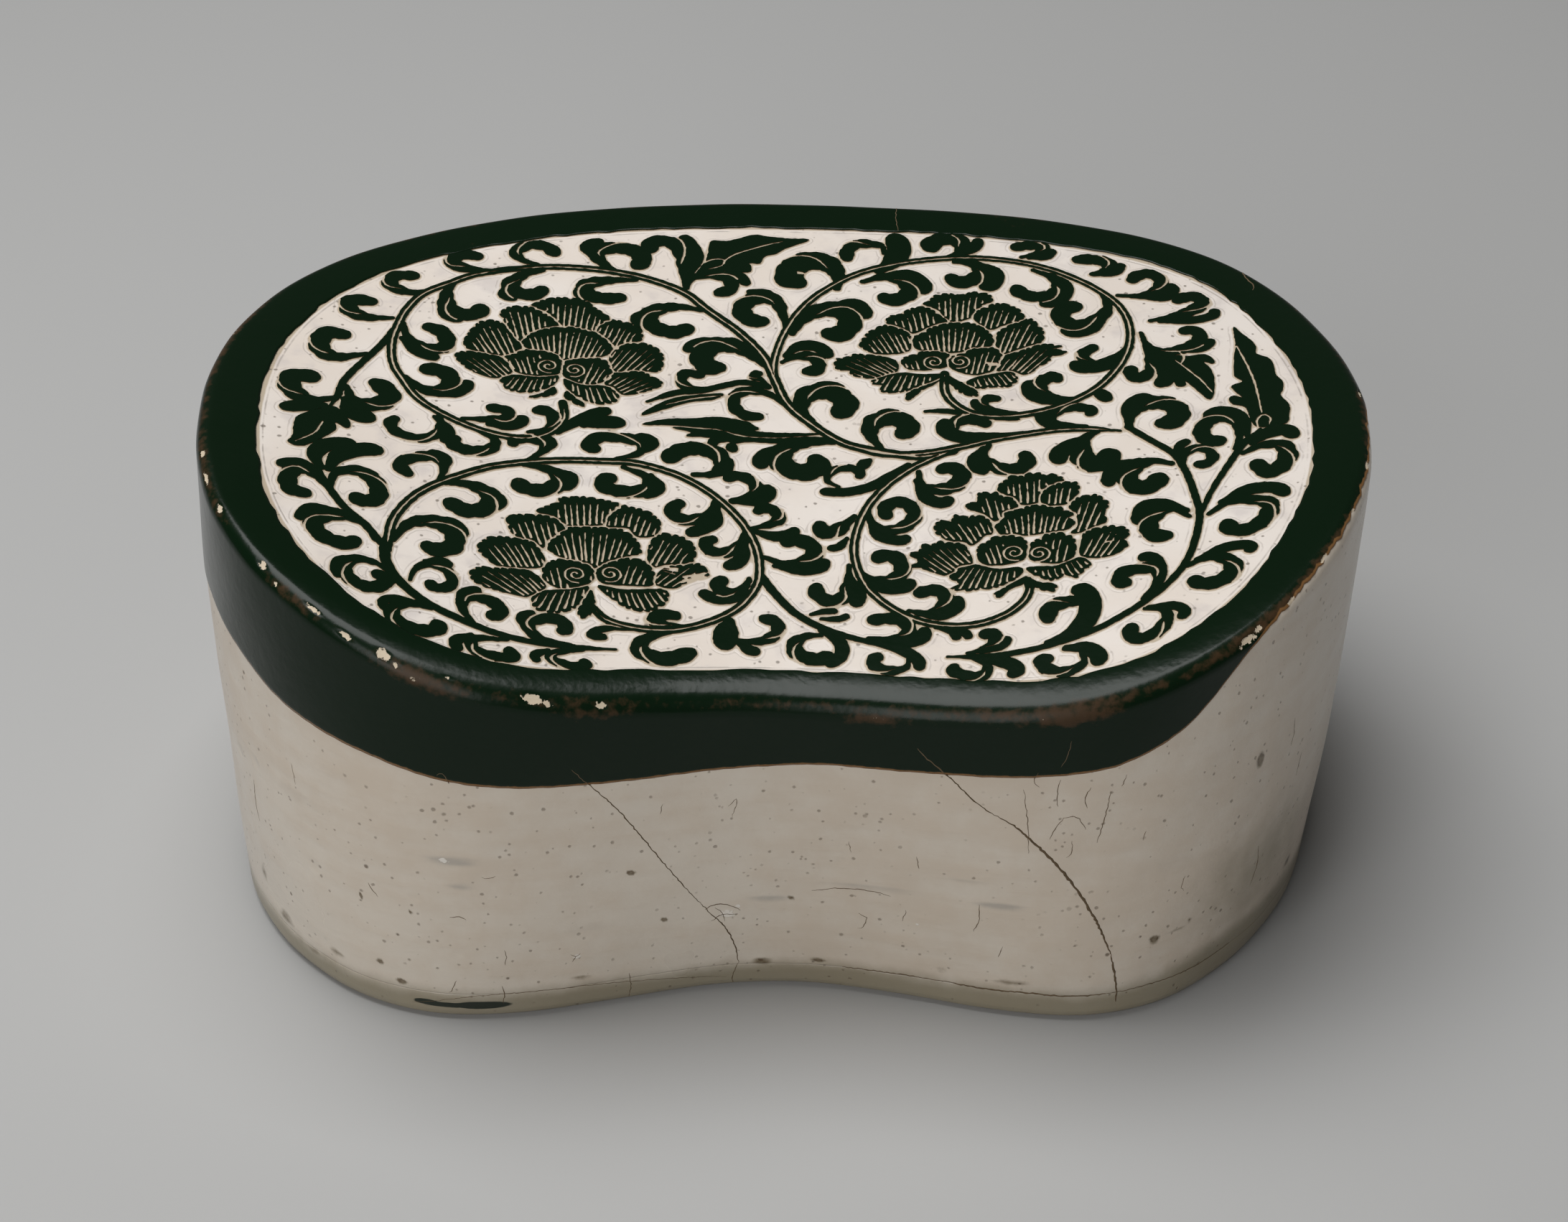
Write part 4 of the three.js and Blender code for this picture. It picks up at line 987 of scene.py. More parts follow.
# Peonies: heart, eyes with the hand they turn by, then petals: how far behind the heart, or before it
# where negative, their hatching's lines meet, 0 for a petal without lines, and the outline's points
peonies = [
    {"heart": (59.7, -49.8), "eyes": [(56.6, -46.8, 1), (62.7, -47.7, -1)], "petals": [
        (-34, 53.5, -21.2, 55.5, -18.8, 57.3, -17, 59.7, -17.3, 62.1, -16.2, 64.5, -16.5, 65.7, -17.6,
            67.5, -17, 70.4, -19.4, 68, -20.6, 65.7, -21.8, 63.9, -24.8, 63.3, -28, 59.1, -28.4, 57.3, -25.4,
            54.4, -23.6),
        (-34, 45.4, -29, 46, -27.2, 48.4, -26.6, 48.4, -23.6, 50.8, -23.3, 53.2, -23.6, 54.4, -25.1,
            57.3, -26, 58.2, -29, 56.1, -30.4, 54.4, -31.3, 53.8, -33.7, 52, -34.3, 50.2, -31.9,
            47.8, -30.4),
        (-34, 63.9, -26.6, 65.1, -23.6, 66.9, -22.4, 68.6, -20.9, 71.6, -20.6, 73.4, -20.9, 74, -24.2,
            72.8, -26.6, 71, -29, 66.9, -29.5, 64.5, -28.4),
        (-34, 71.3, -29.5, 73.4, -27.2, 75.8, -26.6, 78.2, -26.6, 80.5, -29, 80.8, -31.3, 79.7, -33.7,
            80, -37.3, 76.4, -39.1, 73.4, -40.9, 71, -40.6, 72.8, -38.5, 72.8, -33.7, 71.6, -31.9),
        (-16, 54.7, -33.1, 55, -31, 58.2, -30.7, 60.9, -29.5, 64.5, -29, 66.3, -30.4, 68.6, -30.4,
            69.8, -31.9, 72.2, -33.1, 71, -34.9, 72.2, -36.7, 70.4, -39.1, 66.9, -39.7, 62.7, -40.3,
            59.7, -40.6, 57.3, -39.7, 53.8, -39.7, 52.3, -36.7, 53.2, -35.2),
        (-24, 37.1, -37.3, 38.3, -33.7, 41.3, -34, 42.5, -31.6, 45.4, -32.5, 47.2, -32.2, 50.2, -33.1,
            51.4, -36.1, 51.4, -39.1, 49.6, -39.7, 47.8, -42, 46, -43.2, 44.2, -41.8, 40.1, -40.9),
        (-24, 30.5, -45.6, 32.9, -45, 34.1, -42.6, 36.5, -42.6, 38.3, -41.5, 41.3, -42.3, 43.6, -42.6,
            45.4, -45.6, 46, -49.8, 43, -50.7, 41.3, -52.8, 38.9, -54, 35.9, -52.5, 32.9, -51, 30.5, -50.4,
            32.9, -48.9, 31.7, -47.4),
        (-40, 47.8, -43.8, 50.2, -42.3, 51.4, -40.9, 55, -40.3, 57.9, -40.9, 59.7, -43.2, 59.7, -47.4,
            58.5, -49.8, 55, -51, 50.2, -51, 47.8, -49.2, 47.5, -45.6),
        (-40, 60.6, -45, 62.1, -42.9, 63.9, -42, 65.1, -40.6, 68.6, -40.6, 71, -42.3, 71.9, -44.4,
            71.6, -48.6, 70.4, -51, 66.9, -51.9, 62.7, -51, 60.3, -49.2),
        (-34, 73.7, -43.2, 74.6, -40.9, 78.2, -39.7, 81.1, -39.4, 84.1, -40.3, 85.3, -42.6, 84.1, -45,
            84.7, -47.4, 82.3, -49.8, 79.4, -51, 75.8, -51, 72.8, -49.2),
        (25, 40.1, -54.8, 42.5, -52.8, 41.9, -51.9, 44.8, -51.3, 47.2, -50.7, 49, -51.6, 52.6, -52.8,
            57.3, -52.5, 58.5, -54, 56.1, -56.9, 51.4, -59.3, 47.8, -59.5, 44.2, -60, 40.7, -59, 43, -57.3),
        (25, 59.7, -52.8, 62.7, -52.8, 66.9, -53, 70.4, -51, 73.4, -50.7, 74.6, -52.2, 75.2, -54,
            73.4, -55.1, 71.6, -57.8, 68.6, -56.6, 65.7, -58.1, 62.1, -56.3, 59.7, -54),
        (0, 50.8, -62, 53.2, -60.2, 59.1, -56.1, 58.2, -58.8, 55, -60.2, 52.6, -62.9),
        (0, 60, -56.7, 62.1, -58.5, 65.7, -59.6, 66.3, -60.8, 65.1, -62.3, 62.1, -60.8, 60.3, -58.5),
    ]},
    {"heart": (42, 29.5), "eyes": [(38.6, 31.2, 1), (45.4, 31.5, -1)], "petals": [
        (-34, 38, 58.3, 40.1, 60.9, 43.6, 61.5, 46.6, 60.9, 50.2, 62.4, 54.4, 61.2, 55, 58.3, 52.6, 56.8,
            50.2, 53.8, 49, 50.8, 43.6, 49, 40.1, 54.4, 36.5, 56.5),
        (-40, 27, 50.8, 30, 52, 32.9, 54.4, 36.5, 55.3, 38.9, 53.8, 41.3, 50.8, 43, 49.3, 38.3, 47.2,
            35.6, 44.9, 32.9, 43.7, 30.5, 46, 26.4, 48.1),
        (-34, 50.2, 53.2, 52.6, 55, 56.1, 57.1, 59.7, 56.5, 62.7, 53.8, 63.3, 50.2, 60.3, 48.4, 57.3, 47.2,
            54.7, 45.5, 52.6, 46.6, 50.2, 49.6, 49.6, 51.4),
        (-30, 20.3, 41.9, 22.4, 44.9, 26, 46.9, 28.8, 46, 31.7, 44.3, 32.9, 41.3, 32.3, 36.5, 28.8, 34.7,
            23, 34.7, 19.5, 37.1, 19, 39),
        (-18, 33.2, 41.9, 35.9, 43.7, 38.3, 46, 42.5, 48.1, 47.8, 48.4, 52, 46.6, 53.8, 43.7, 55, 40.7,
            53.2, 37.7, 49, 37.4, 46, 35.6, 42.5, 35.3, 38.9, 36.2, 34.7, 36.5, 32.9, 39.2),
        (-45, 55.8, 43.1, 57.3, 45.5, 59.7, 47.8, 62.1, 49, 65.1, 50.2, 66.9, 47.8, 68.3, 44.3, 67.8, 40.1,
            65.1, 38.6, 60.9, 36.5, 57.3, 34.7, 55.5, 37.7),
        (-30, 57.3, 33.5, 62.1, 35.9, 68, 38.6, 72.8, 37.7, 70.4, 36.5, 74, 35.3, 71.6, 33.5, 69.8, 33.5,
            69.2, 31.2, 66.3, 28.8, 64.5, 26.4, 62.1, 25.5, 59.7, 27, 55, 27.6),
        (-40, 30.3, 32.4, 32.9, 34.1, 35.9, 35.6, 39.5, 35.9, 42.5, 34.7, 41.9, 31.8, 41.9, 29.4, 38.9, 28.2,
            35.3, 27.6, 31.7, 28.2, 30.3, 30),
        (-40, 43, 33, 46, 34.7, 49, 36.8, 52.6, 37.4, 56.7, 36.5, 56.7, 34.1, 56.4, 30.6, 54.4, 27.6,
            50.8, 25.8, 47.8, 25.8, 44.2, 27.6, 42.5, 30),
        (30, 21.8, 22.2, 24.8, 25.2, 30.5, 26.4, 34.7, 25.8, 40, 26, 41.5, 26.5, 38.3, 22.8, 34.1, 20.4,
            30.5, 18.7, 26.4, 18.1, 24.2, 18.9, 24.5, 21),
        (-16, 12.3, 31.8, 14.6, 32.4, 17.6, 34.1, 23.6, 33.5, 28.3, 31.8, 28.9, 27.6, 26, 25.8, 22.4, 24,
            17, 25.2, 15.8, 27.3, 12.9, 27.6),
        (25, 50.2, 24.6, 54.4, 25.8, 57.9, 27, 59.7, 25.8, 60.3, 22.8, 57.9, 20.4, 54.4, 20.4, 50.8, 19.8,
            48.4, 20.4, 46.6, 22.2),
        (0, 41.9, 25.8, 44.2, 23.4, 47.8, 21, 49.6, 18.1, 49.3, 16.6, 46, 17.5, 42.5, 22.2),
        (0, 38.3, 21.6, 35.3, 19.3, 31.7, 15.1, 30.9, 16.9, 33.5, 19.9, 39.5, 23.4),
    ]},
    {"heart": (-60.2, 20.5), "eyes": [(-63.5, 23.4, 1), (-56.6, 22.5, -1)], "petals": [
        (-34, -69.4, 50.2, -63.8, 53.8, -56, 53.5, -52.5, 50.2, -48.3, 45.5, -52.5, 40.1, -58.4, 41.6,
            -61, 41, -64.4, 46.6, -69.4, 49.6),
        (-34, -77.5, 45.5, -75, 48.5, -69.7, 49, -67.9, 47.8, -61.1, 41.9, -64.4, 40.7, -68.5, 37.7,
            -72.1, 33.5, -76.3, 41.9),
        (-34, -52.5, 41.3, -51.5, 44.3, -46.5, 45.2, -41, 43, -39.4, 40.1, -40, 36.5, -44.1, 35.3,
            -45.9, 32.4, -48.3, 36.5),
        (-16, -63.8, 40.1, -58.4, 41.3, -51.9, 39.5, -47.1, 34.1, -47.1, 30.6, -51.9, 28.2, -57.8, 27,
            -59.6, 26.4, -62.6, 29.4, -69.7, 30.6, -70.9, 34.7, -69, 37.7),
        (-30, -86.2, 31.8, -82.6, 40.7, -76.9, 40.7, -72.1, 33.5, -71.2, 29.4, -75, 26.4, -80.4, 27,
            -85, 28.2),
        (-20, -88, 24, -86.2, 26.4, -81, 26.7, -74.8, 24.6, -72.7, 19.9, -76.3, 16.3, -80.4, 16.9,
            -84.4, 19.3),
        (-30, -75.1, 25.2, -73.9, 27.6, -70.3, 29.4, -63.8, 29.7, -60.2, 26.4, -60.5, 20.5, -66.1, 18.7,
            -72.1, 19.9),
        (-30, -59.6, 25.2, -55.4, 27.9, -49.5, 27.9, -46.8, 24, -47.7, 19.3, -53, 16.6, -59, 19.3),
        (-25, -47.7, 29.4, -44.7, 34.7, -38.8, 35.6, -34.6, 33, -33.4, 28.8, -34.6, 24, -40, 24,
            -45.9, 22.8),
        (-20, -46.2, 22.2, -40, 23.7, -37, 22.2, -33.4, 19.3, -35.8, 16.3, -42.9, 13.3, -45.9, 16.3,
            -48.3, 17.5),
        (25, -75.4, 16.3, -72.1, 18.1, -66.1, 18.1, -60.8, 19.3, -62, 15.1, -67.3, 11.5, -72.7, 11.5,
            -74.5, 13.3),
        (25, -59, 18.1, -54.2, 16.3, -48.3, 16.3, -45.3, 13.9, -44.7, 10.9, -48.9, 8.8, -53.6, 10.3,
            -57.8, 13.9),
        (0, -61.5, 14.3, -64.5, 11.2, -67.5, 9.5, -66, 9.3, -61, 11.5),
        (0, -58, 13, -55.5, 10.2, -53, 7.8, -54.8, 7.6, -58.5, 10.5),
    ]},
    {"heart": (-47.8, -60.5), "eyes": [(-52, -58.8, 1), (-43.6, -57.2, -1)], "petals": [
        (-34, -62.9, -36.7, -57.8, -32.5, -57.2, -30.7, -50.7, -29.5, -42.9, -30.7, -42.3, -32.5,
            -45.3, -36.1, -45.9, -39.1, -51.9, -40.6, -55.4, -40.9, -58.4, -37.9),
        (-34, -44.7, -35, -42.3, -31.3, -38.8, -32, -35.2, -33, -32, -36.7, -32.2, -39.7, -33.4, -42,
            -37.6, -42.6, -40, -39.7, -45.3, -39.7),
        (-34, -69.7, -40.3, -66, -38.8, -59, -38.5, -55.4, -42, -57.8, -45.6, -60.2, -50.4, -63, -48,
            -67.3, -47.4, -69.4, -43.8),
        (-34, -34, -44.4, -31, -40.9, -25.7, -42, -23.3, -45, -23.6, -50.4, -30.4, -52.2, -32.8, -53.4,
            -34.6, -51),
        (-30, -76.3, -53.4, -73.9, -49.2, -69.7, -48.3, -63.8, -48.6, -60.8, -52.2, -60.2, -57.5,
            -70.3, -59.3, -74, -57),
        (-16, -59.9, -47.4, -57.8, -45.6, -54.2, -41.5, -45.9, -40.6, -41, -40.9, -37.6, -44.4, -36.4, -48.6,
            -40, -50.4, -45.3, -53.4, -47.4, -55.7, -49.5, -54, -55.4, -53.4, -59.6, -50.4),
        (-40, -59.9, -57.3, -57.8, -54.9, -54.2, -53.7, -50.7, -54.3, -47.7, -56.7, -48, -60.8, -51.9, -63.8,
            -56, -64.4, -59.6, -62),
        (-40, -47.1, -56.7, -42.9, -52.5, -38.8, -51, -34, -52.8, -32.8, -59.6, -38.8, -60.8, -45.3, -60.8),
        (-20, -77.5, -63.8, -75, -60.8, -71.5, -60.5, -63.8, -59.6, -59, -64.4, -62.6, -68.6, -65, -69.2,
            -74.5, -67.4),
        (25, -62, -70.4, -60.2, -66.8, -56, -65.3, -48.3, -62.6, -49, -65.6, -51.3, -70.4, -55.4, -73.3,
            -60.2, -73.3),
        (25, -45.9, -62, -40, -62.6, -30.4, -61.4, -29.5, -65.3, -33.4, -69.2, -39.4, -68.6, -45.3, -63.8),
        (-20, -32.8, -59, -30.4, -53.7, -24.5, -51.6, -21.5, -51.3, -19.5, -55, -24, -57.5, -28, -60.5),
        (0, -48.3, -63, -50.7, -71.5, -49.5, -74.2, -46.8, -70.4, -47.7, -64),
    ]},
]

# Worn places where the slip is scratched through: start, end, how many scratches, gap between them
scratches = [
    ((-26, -57.5), (-20, -55.5), 7, 0.62),
    ((-31, -53.5), (-27.5, -54), 3, 0.7),
    ((52.6, 30.6), (55.2, 30.2), 3, 0.6),
    ((2.2, 69.9), (3.8, 69.7), 3, 0.5),
    ((79.2, -45.2), (81, -44.8), 2, 0.6),
]


def smoothLine(points, pitch, closed=False):
    # a smooth line through given points, in steps of one pitch
    p = np.reshape(points, (-1, 2)).astype(float)
    if closed:
        p = np.vstack([p[-1], p, p[0], p[1]])
    else:
        p = np.vstack([2 * p[0] - p[1], p, 2 * p[-1] - p[-2]])
    t = np.linspace(0, 1, scroll["curveSteps"], endpoint=False)[:, None]
    runs = []
    for k in range(1, len(p) - 2):
        a, b, c, d = p[k - 1], p[k], p[k + 1], p[k + 2]
        runs.append(0.5 * (2 * b + (c - a) * t + (2 * a - 5 * b + 4 * c - d) * t ** 2
                           + (3 * b - a - 3 * c + d) * t ** 3))
    line = np.vstack(runs + [p[-2:-1]])
    far = np.concatenate([[0], np.cumsum(np.linalg.norm(np.diff(line, axis=0), axis=1))])
    steps = max(3, int(far[-1] / pitch))
    at = np.linspace(0, far[-1], steps + 1)
    return np.column_stack([np.interp(at, far, line[:, 0]), np.interp(at, far, line[:, 1])])


def nearSide(x, y, a, b):
    # the share of a straight side from a to b that lies nearest each point, and the distance to it
    d = b - a
    t = np.clip(((x - a[0]) * d[0] + (y - a[1]) * d[1]) / max(d @ d, 1e-9), 0, 1)
    return t, np.hypot(x - a[0] - t * d[0], y - a[1] - t * d[1])


class Sketch:
    # distances to drawn shapes on a fine grid over the headrest, negative inside
    def __init__(self, reach, step):
        self.step = step
        self.low = np.array([-reach[0], -reach[1]], float)
        self.size = np.array([2 * reach[0] / step, 2 * reach[1] / step]).astype(int) + 1
        self.far = 9.0

    def blank(self):
        return np.full((self.size[1], self.size[0]), self.far)

    def window(self, points, margin):
        low = np.maximum(((points.min(0) - margin - self.low) / self.step).astype(int), 0)
        high = np.minimum(((points.max(0) + margin - self.low) / self.step).astype(int) + 2, self.size)
        xs = self.low[0] + self.step * np.arange(low[0], high[0])
        ys = self.low[1] + self.step * np.arange(low[1], high[1])
        x, y = np.meshgrid(xs, ys)
        return slice(low[1], high[1]), slice(low[0], high[0]), x, y

    def stroke(self, field, line, half, margin=3.0):
        # least distance to a line with a half width at each point
        rows, columns, x, y = self.window(line, half.max() + margin)
        near = np.full(x.shape, self.far)
        for a, b, wa, wb in zip(line[:-1], line[1:], half[:-1], half[1:]):
            t, gap = nearSide(x, y, a, b)
            near = np.minimum(near, gap - (wa + t * (wb - wa)))
        field[rows, columns] = np.minimum(field[rows, columns], near)

    def polygon(self, line, margin=3.0):
        # distance to a closed outline over its part of the grid, negative inside
        rows, columns, x, y = self.window(line, margin)
        near = np.full(x.shape, self.far)
        inside = np.zeros(x.shape, bool)
        for a, b in zip(line, np.roll(line, -1, 0)):
            near = np.minimum(near, nearSide(x, y, a, b)[1])
            d = b - a
            if d[1] != 0:
                inside ^= ((a[1] > y) != (b[1] > y)) & (x < a[0] + (y - a[1]) * d[0] / d[1])
        return rows, columns, np.where(inside, -near, near)

    def sample(self, field, points):
        # a field's value at each point, blended between the four grid points round it
        at = (np.asarray(points, float) - self.low) / self.step
        cell = np.clip(np.floor(at).astype(int), 0, self.size - 2)
        f = np.clip(at - cell, 0, 1)
        i, j = cell[:, 1], cell[:, 0]
        low = field[i, j] * (1 - f[:, 0]) + field[i, j + 1] * f[:, 0]
        high = field[i + 1, j] * (1 - f[:, 0]) + field[i + 1, j + 1] * f[:, 0]
        return low * (1 - f[:, 1]) + high * f[:, 1]


def leafHalf(line, half, stalk):
    # thin stalk, full body from a share of the length on, round tip
    s = np.linspace(0, 1, len(line))
    grow = np.clip(s / scroll["fullFrom"], 0, 1)
    width = half * (stalk + (1 - stalk) * grow * grow * (3 - 2 * grow))
    length = np.linalg.norm(np.diff(line, axis=0), axis=1).sum()
    left = (1 - s) * length
    tip = np.sqrt(np.clip(1 - (1 - np.clip(left / half, 0, 1)) ** 2, 0, 1))
    return np.maximum(width * np.where(left < half, tip, 1), 0.05)


def hookLine(line, half):
    # the cut that starts in a leaf's body, near its inner edge, and leaves by its outer edge
    s = np.linspace(0, 1, len(line))
    along = np.gradient(line, axis=0)
    along /= np.linalg.norm(along, axis=1)[:, None] + 1e-9
    bend = (along[:-1, 0] * along[1:, 1] - along[:-1, 1] * along[1:, 0]).sum()
    out = np.stack([along[:, 1], -along[:, 0]], 1) * (1 if bend > 0 else -1)
    part = (s > scroll["hookFrom"]) & (s < scroll["hookTo"])
    leave = np.clip((s - scroll["hookFrom"]) / (scroll["hookTo"] - scroll["hookFrom"]), 0, 1)
    shift = half * (leave * leave * (3 - 2 * leave) * scroll["hookCross"] - scroll["hookInside"])
    return (line + out * shift[:, None])[part]


def drawScroll():
    sketch = Sketch(scroll["reach"], scroll["step"])
    ink = sketch.blank()
    cuts = sketch.blank()
    pitch = scroll["leafPitch"]
    for half, *points in lobes:
        line = smoothLine(points, pitch)
        sketch.stroke(ink, line, leafHalf(line, half, scroll["lobeStalk"]))
    for half, *points in curls:
        line = smoothLine(points, pitch)
        width = leafHalf(line, half, scroll["stalkShare"])
        beat = np.arange(len(line)) * pitch / random.uniform(0.5, 0.75) + random.uniform(0, 6)
        sketch.stroke(ink, line, width * (1 + scroll["lobing"] * np.sin(beat)))
        hook = hookLine(line, width)
        fade = np.clip(np.arange(len(hook)) / 3, 0.25, 1)
        sketch.stroke(cuts, hook, scroll["lineWidth"] / 2 * fade)
    for start, end, groove, *points in vines:
        line = smoothLine(points, scroll["vinePitch"])
        count = np.arange(len(line))
        tip = np.clip(count[::-1] / 4, 0.35, 1) if end <= 1 else 1
        sketch.stroke(ink, line, np.linspace(start, end, len(line)) * tip)
        if groove:
            fade = np.clip(np.minimum(count, count[::-1]) / 3 - 0.3, 0.05, 1)
            sketch.stroke(cuts, line, scroll["grooveWidth"] / 2 * fade)
    for outline, lines in blades:
        rows, columns, gap = sketch.polygon(smoothLine(outline, scroll["bladePitch"], closed=True)[:-1])
        ink[rows, columns] = np.minimum(ink[rows, columns], gap)
        for points in lines:
            line = smoothLine(points, scroll["veinPitch"])
            taper = np.sin(np.linspace(0.12, 0.95, len(line)) * math.pi) * 0.5 + 0.5
            sketch.stroke(cuts, line, scroll["lineWidth"] / 2 * taper)
    for peony in peonies:
        drawPeony(sketch, ink, cuts, peony)
    for start, end, rows, gap in scratches:
        for k in range(rows):
            off = np.array([random.uniform(-0.4, 0.4), (k - rows / 2) * gap])
            line = np.array([np.array(start) + off, np.array(end) + off + random.uniform(-0.6, 0.6)])
            sketch.stroke(cuts, line, np.array([random.uniform(0.1, 0.25), random.uniform(0.2, 0.45)]))
    return sketch, ink, cuts


def drawPeony(sketch, ink, cuts, peony):
    first = sketch.blank()
    second = sketch.blank()
    heart = np.array(peony["heart"], float)
    for middle, *outline in peony["petals"]:
        line = smoothLine(outline, scroll["petalPitch"], closed=True)[:-1]
        brim = smoothLine(outline, scroll["brimPitch"], closed=True)[:-1]
        origin = heart + np.array([0, middle])
        rows, columns, gap = sketch.polygon(scalloped(brim, origin))
        one, two = first[rows, columns], second[rows, columns]
        second[rows, columns] = np.minimum(np.maximum(one, gap), two)
        first[rows, columns] = np.minimum(one, gap)
        if middle:
            hatchPetal(sketch, cuts, line, origin, peony["eyes"])
    between = scroll["lineWidth"] * 0.55 - (second - first) / 2
    first = np.maximum(first, np.where(second < 1.5, between, -sketch.far))
    np.minimum(ink, first, out=ink)
    for x, y, hand in peony["eyes"]:
        turn = np.linspace(0, 2 * scroll["eyeTurns"] * math.pi, 48)
        r = scroll["eyeStart"] + scroll["eyeGrowth"] * turn
        spiral = np.stack([x + hand * r * np.cos(turn + 0.6), y + r * np.sin(turn + 0.6)], 1)
        sketch.stroke(cuts, spiral, np.full(len(spiral), scroll["eyeLine"]))


def scalloped(line, origin):
    # a petal's brim cut in small rounded lobes, its root left plain
    far = np.cumsum(np.linalg.norm(np.roll(line, -1, 0) - line, axis=1))
    count = max(3, round(far[-1] / scroll["petalLobe"]))
    phase = far / far[-1] * count + 0.18 * np.sin(far * 1.1 + origin[0])
    notch = (1 - np.abs(np.sin(math.pi * phase))) ** 2
    reach = np.linalg.norm(line - origin, axis=1)
    brim = np.clip((reach - reach.min()) / (reach.max() - reach.min()) * 2 - 0.5, 0, 1)
    inwards = line.mean(0) - line
    inwards /= np.linalg.norm(inwards, axis=1)[:, None]
    return line + inwards * ((notch - 0.22) * scroll["petalNotch"] * brim)[:, None]


def hatchPetal(sketch, cuts, outline, origin, eyes):
    # comb lines fanned from one origin, kept off the petal's edges
    pitch, rootGap, brimGap = scroll["hatchPitch"], scroll["hatchRoot"], scroll["hatchBrim"]
    away = outline - origin
    reach = np.linalg.norm(away, axis=1)
    middle = away.mean(0)
    base = math.atan2(middle[1], middle[0])
    turn = np.arctan2(away[:, 1], away[:, 0]) - base
    turn = np.arctan2(np.sin(turn), np.cos(turn))
    spread = turn.max() - turn.min()
    count = int(spread * reach.mean() / pitch)
    lift = math.copysign(1, origin[1] - outline.mean(0)[1])
    for k in range(count):
        angle = base + turn.min() + (k + 0.5 + random.uniform(-0.12, 0.12)) * spread / count
        r = np.arange(reach.min(), reach.max(), 0.25)
        ray = origin + r[:, None] * np.array([math.cos(angle), math.sin(angle)])
        inside = polygonGap(outline, ray) < -rootGap
        for x, y, hand in eyes:
            inside &= np.hypot(ray[:, 0] - x, ray[:, 1] - y) > scroll["eyeClear"]
        within = r[inside] if inside.any() else np.zeros(1)
        if lift < 0:
            keep = r < within.max() - random.uniform(0.7, 1.3) * (brimGap - rootGap)
        else:
            keep = r > within.min() + random.uniform(0.0, 0.5)
        rows = np.flatnonzero(inside & keep)
        for part in np.split(rows, np.flatnonzero(np.diff(rows) > 1) + 1):
            if len(part) < scroll["fewestSteps"]:
                continue
            line = ray[part[0]:part[-1] + 1:3]
            bow = np.sin(np.linspace(0, math.pi, len(line))) * random.uniform(-0.15, 0.15)
            line = line + np.array([-math.sin(angle), math.cos(angle)]) * bow[:, None]
            taper = np.linspace(1.0, 0.45, len(line))
            if lift > 0:
                taper = taper[::-1]
            sketch.stroke(cuts, line, random.uniform(0.30, 0.38) * taper)


def polygonGap(line, points):
    # distance of loose points to a closed outline, negative inside
    near = np.full(len(points), 99.0)
    inside = np.zeros(len(points), bool)
    for a, b in zip(line, np.roll(line, -1, 0)):
        d = b - a
        t = np.clip(((points - a) @ d) / max(d @ d, 1e-9), 0, 1)
        near = np.minimum(near, np.linalg.norm(points - a - t[:, None] * d, axis=1))
        if d[1] != 0:
            crosses = (a[1] > points[:, 1]) != (b[1] > points[:, 1])
            inside ^= crosses & (points[:, 0] < a[0] + (points[:, 1] - a[1]) * d[0] / d[1])
    return np.where(inside, -near, near)


sketch, ink, cuts = drawScroll()
carved = np.maximum(ink - scroll["fatten"], -cuts)
gridX = sketch.low[0] + sketch.step * np.arange(sketch.size[0])
gridY = sketch.low[1] + sketch.step * np.arange(sketch.size[1])
for pitch, share in scroll["wobbles"]:
    waveX = np.sin(gridX * 6.28 / pitch + 2 * np.sin(gridX / 2.7))
    waveY = np.sin(gridY * 6.28 / pitch + 1.7 * np.sin(gridY / 3.1))
    carved += scroll["edgeWobble"] * share * np.outer(waveY, waveX)
print("scroll drawn", carved.shape, round(float((carved < 0).mean()), 3))


# Sides of a grid square, bottom 0, right 1, top 2, left 3, crossed for each pattern of inside corners
crossings = {
    1: [(0, 3)], 2: [(1, 0)], 3: [(1, 3)], 4: [(2, 1)], 5: [(0, 3), (2, 1)], 6: [(2, 0)], 7: [(2, 3)],
    8: [(3, 2)], 9: [(0, 2)], 10: [(1, 0), (3, 2)], 11: [(1, 2)], 12: [(3, 1)], 13: [(0, 1)], 14: [(3, 0)],
}


def outlineLoops(sketch, field):
    # closed outlines of the inside, which lies on their left
    field = field.copy()
    field[0], field[-1], field[:, 0], field[:, -1] = 1, 1, 1, 1
    rows, columns = field.shape
    inside = (field < 0).astype(int)
    code = inside[:-1, :-1] + 2 * inside[:-1, 1:] + 4 * inside[1:, 1:] + 8 * inside[1:, :-1]
    follow = np.full(2 * rows * columns, -1)
    for pattern, pairs in crossings.items():
        i, j = np.nonzero(code == pattern)
        sides = [i * columns + j, rows * columns + i * columns + j + 1,
                 (i + 1) * columns + j, rows * columns + i * columns + j]
        for start, end in pairs:
            follow[sides[start]] = sides[end]
    waiting = follow >= 0
    loops = []
    for start in np.flatnonzero(waiting):
        if not waiting[start]:
            continue
        loop = []
        at = start
        while waiting[at]:
            waiting[at] = False
            loop.append(at)
            at = follow[at]
        ids = np.array(loop)
        upright = ids >= rows * columns
        cell = ids - np.where(upright, rows * columns, 0)
        i, j = cell // columns, cell % columns
        ahead = field[np.where(upright, i + 1, i), np.where(upright, j, j + 1)]
        part = field[i, j] / (field[i, j] - ahead)
        x = sketch.low[0] + sketch.step * (j + np.where(upright, 0, part))
        y = sketch.low[1] + sketch.step * (i + np.where(upright, part, 0))
        loops.append(np.stack([x, y], 1))
    return loops


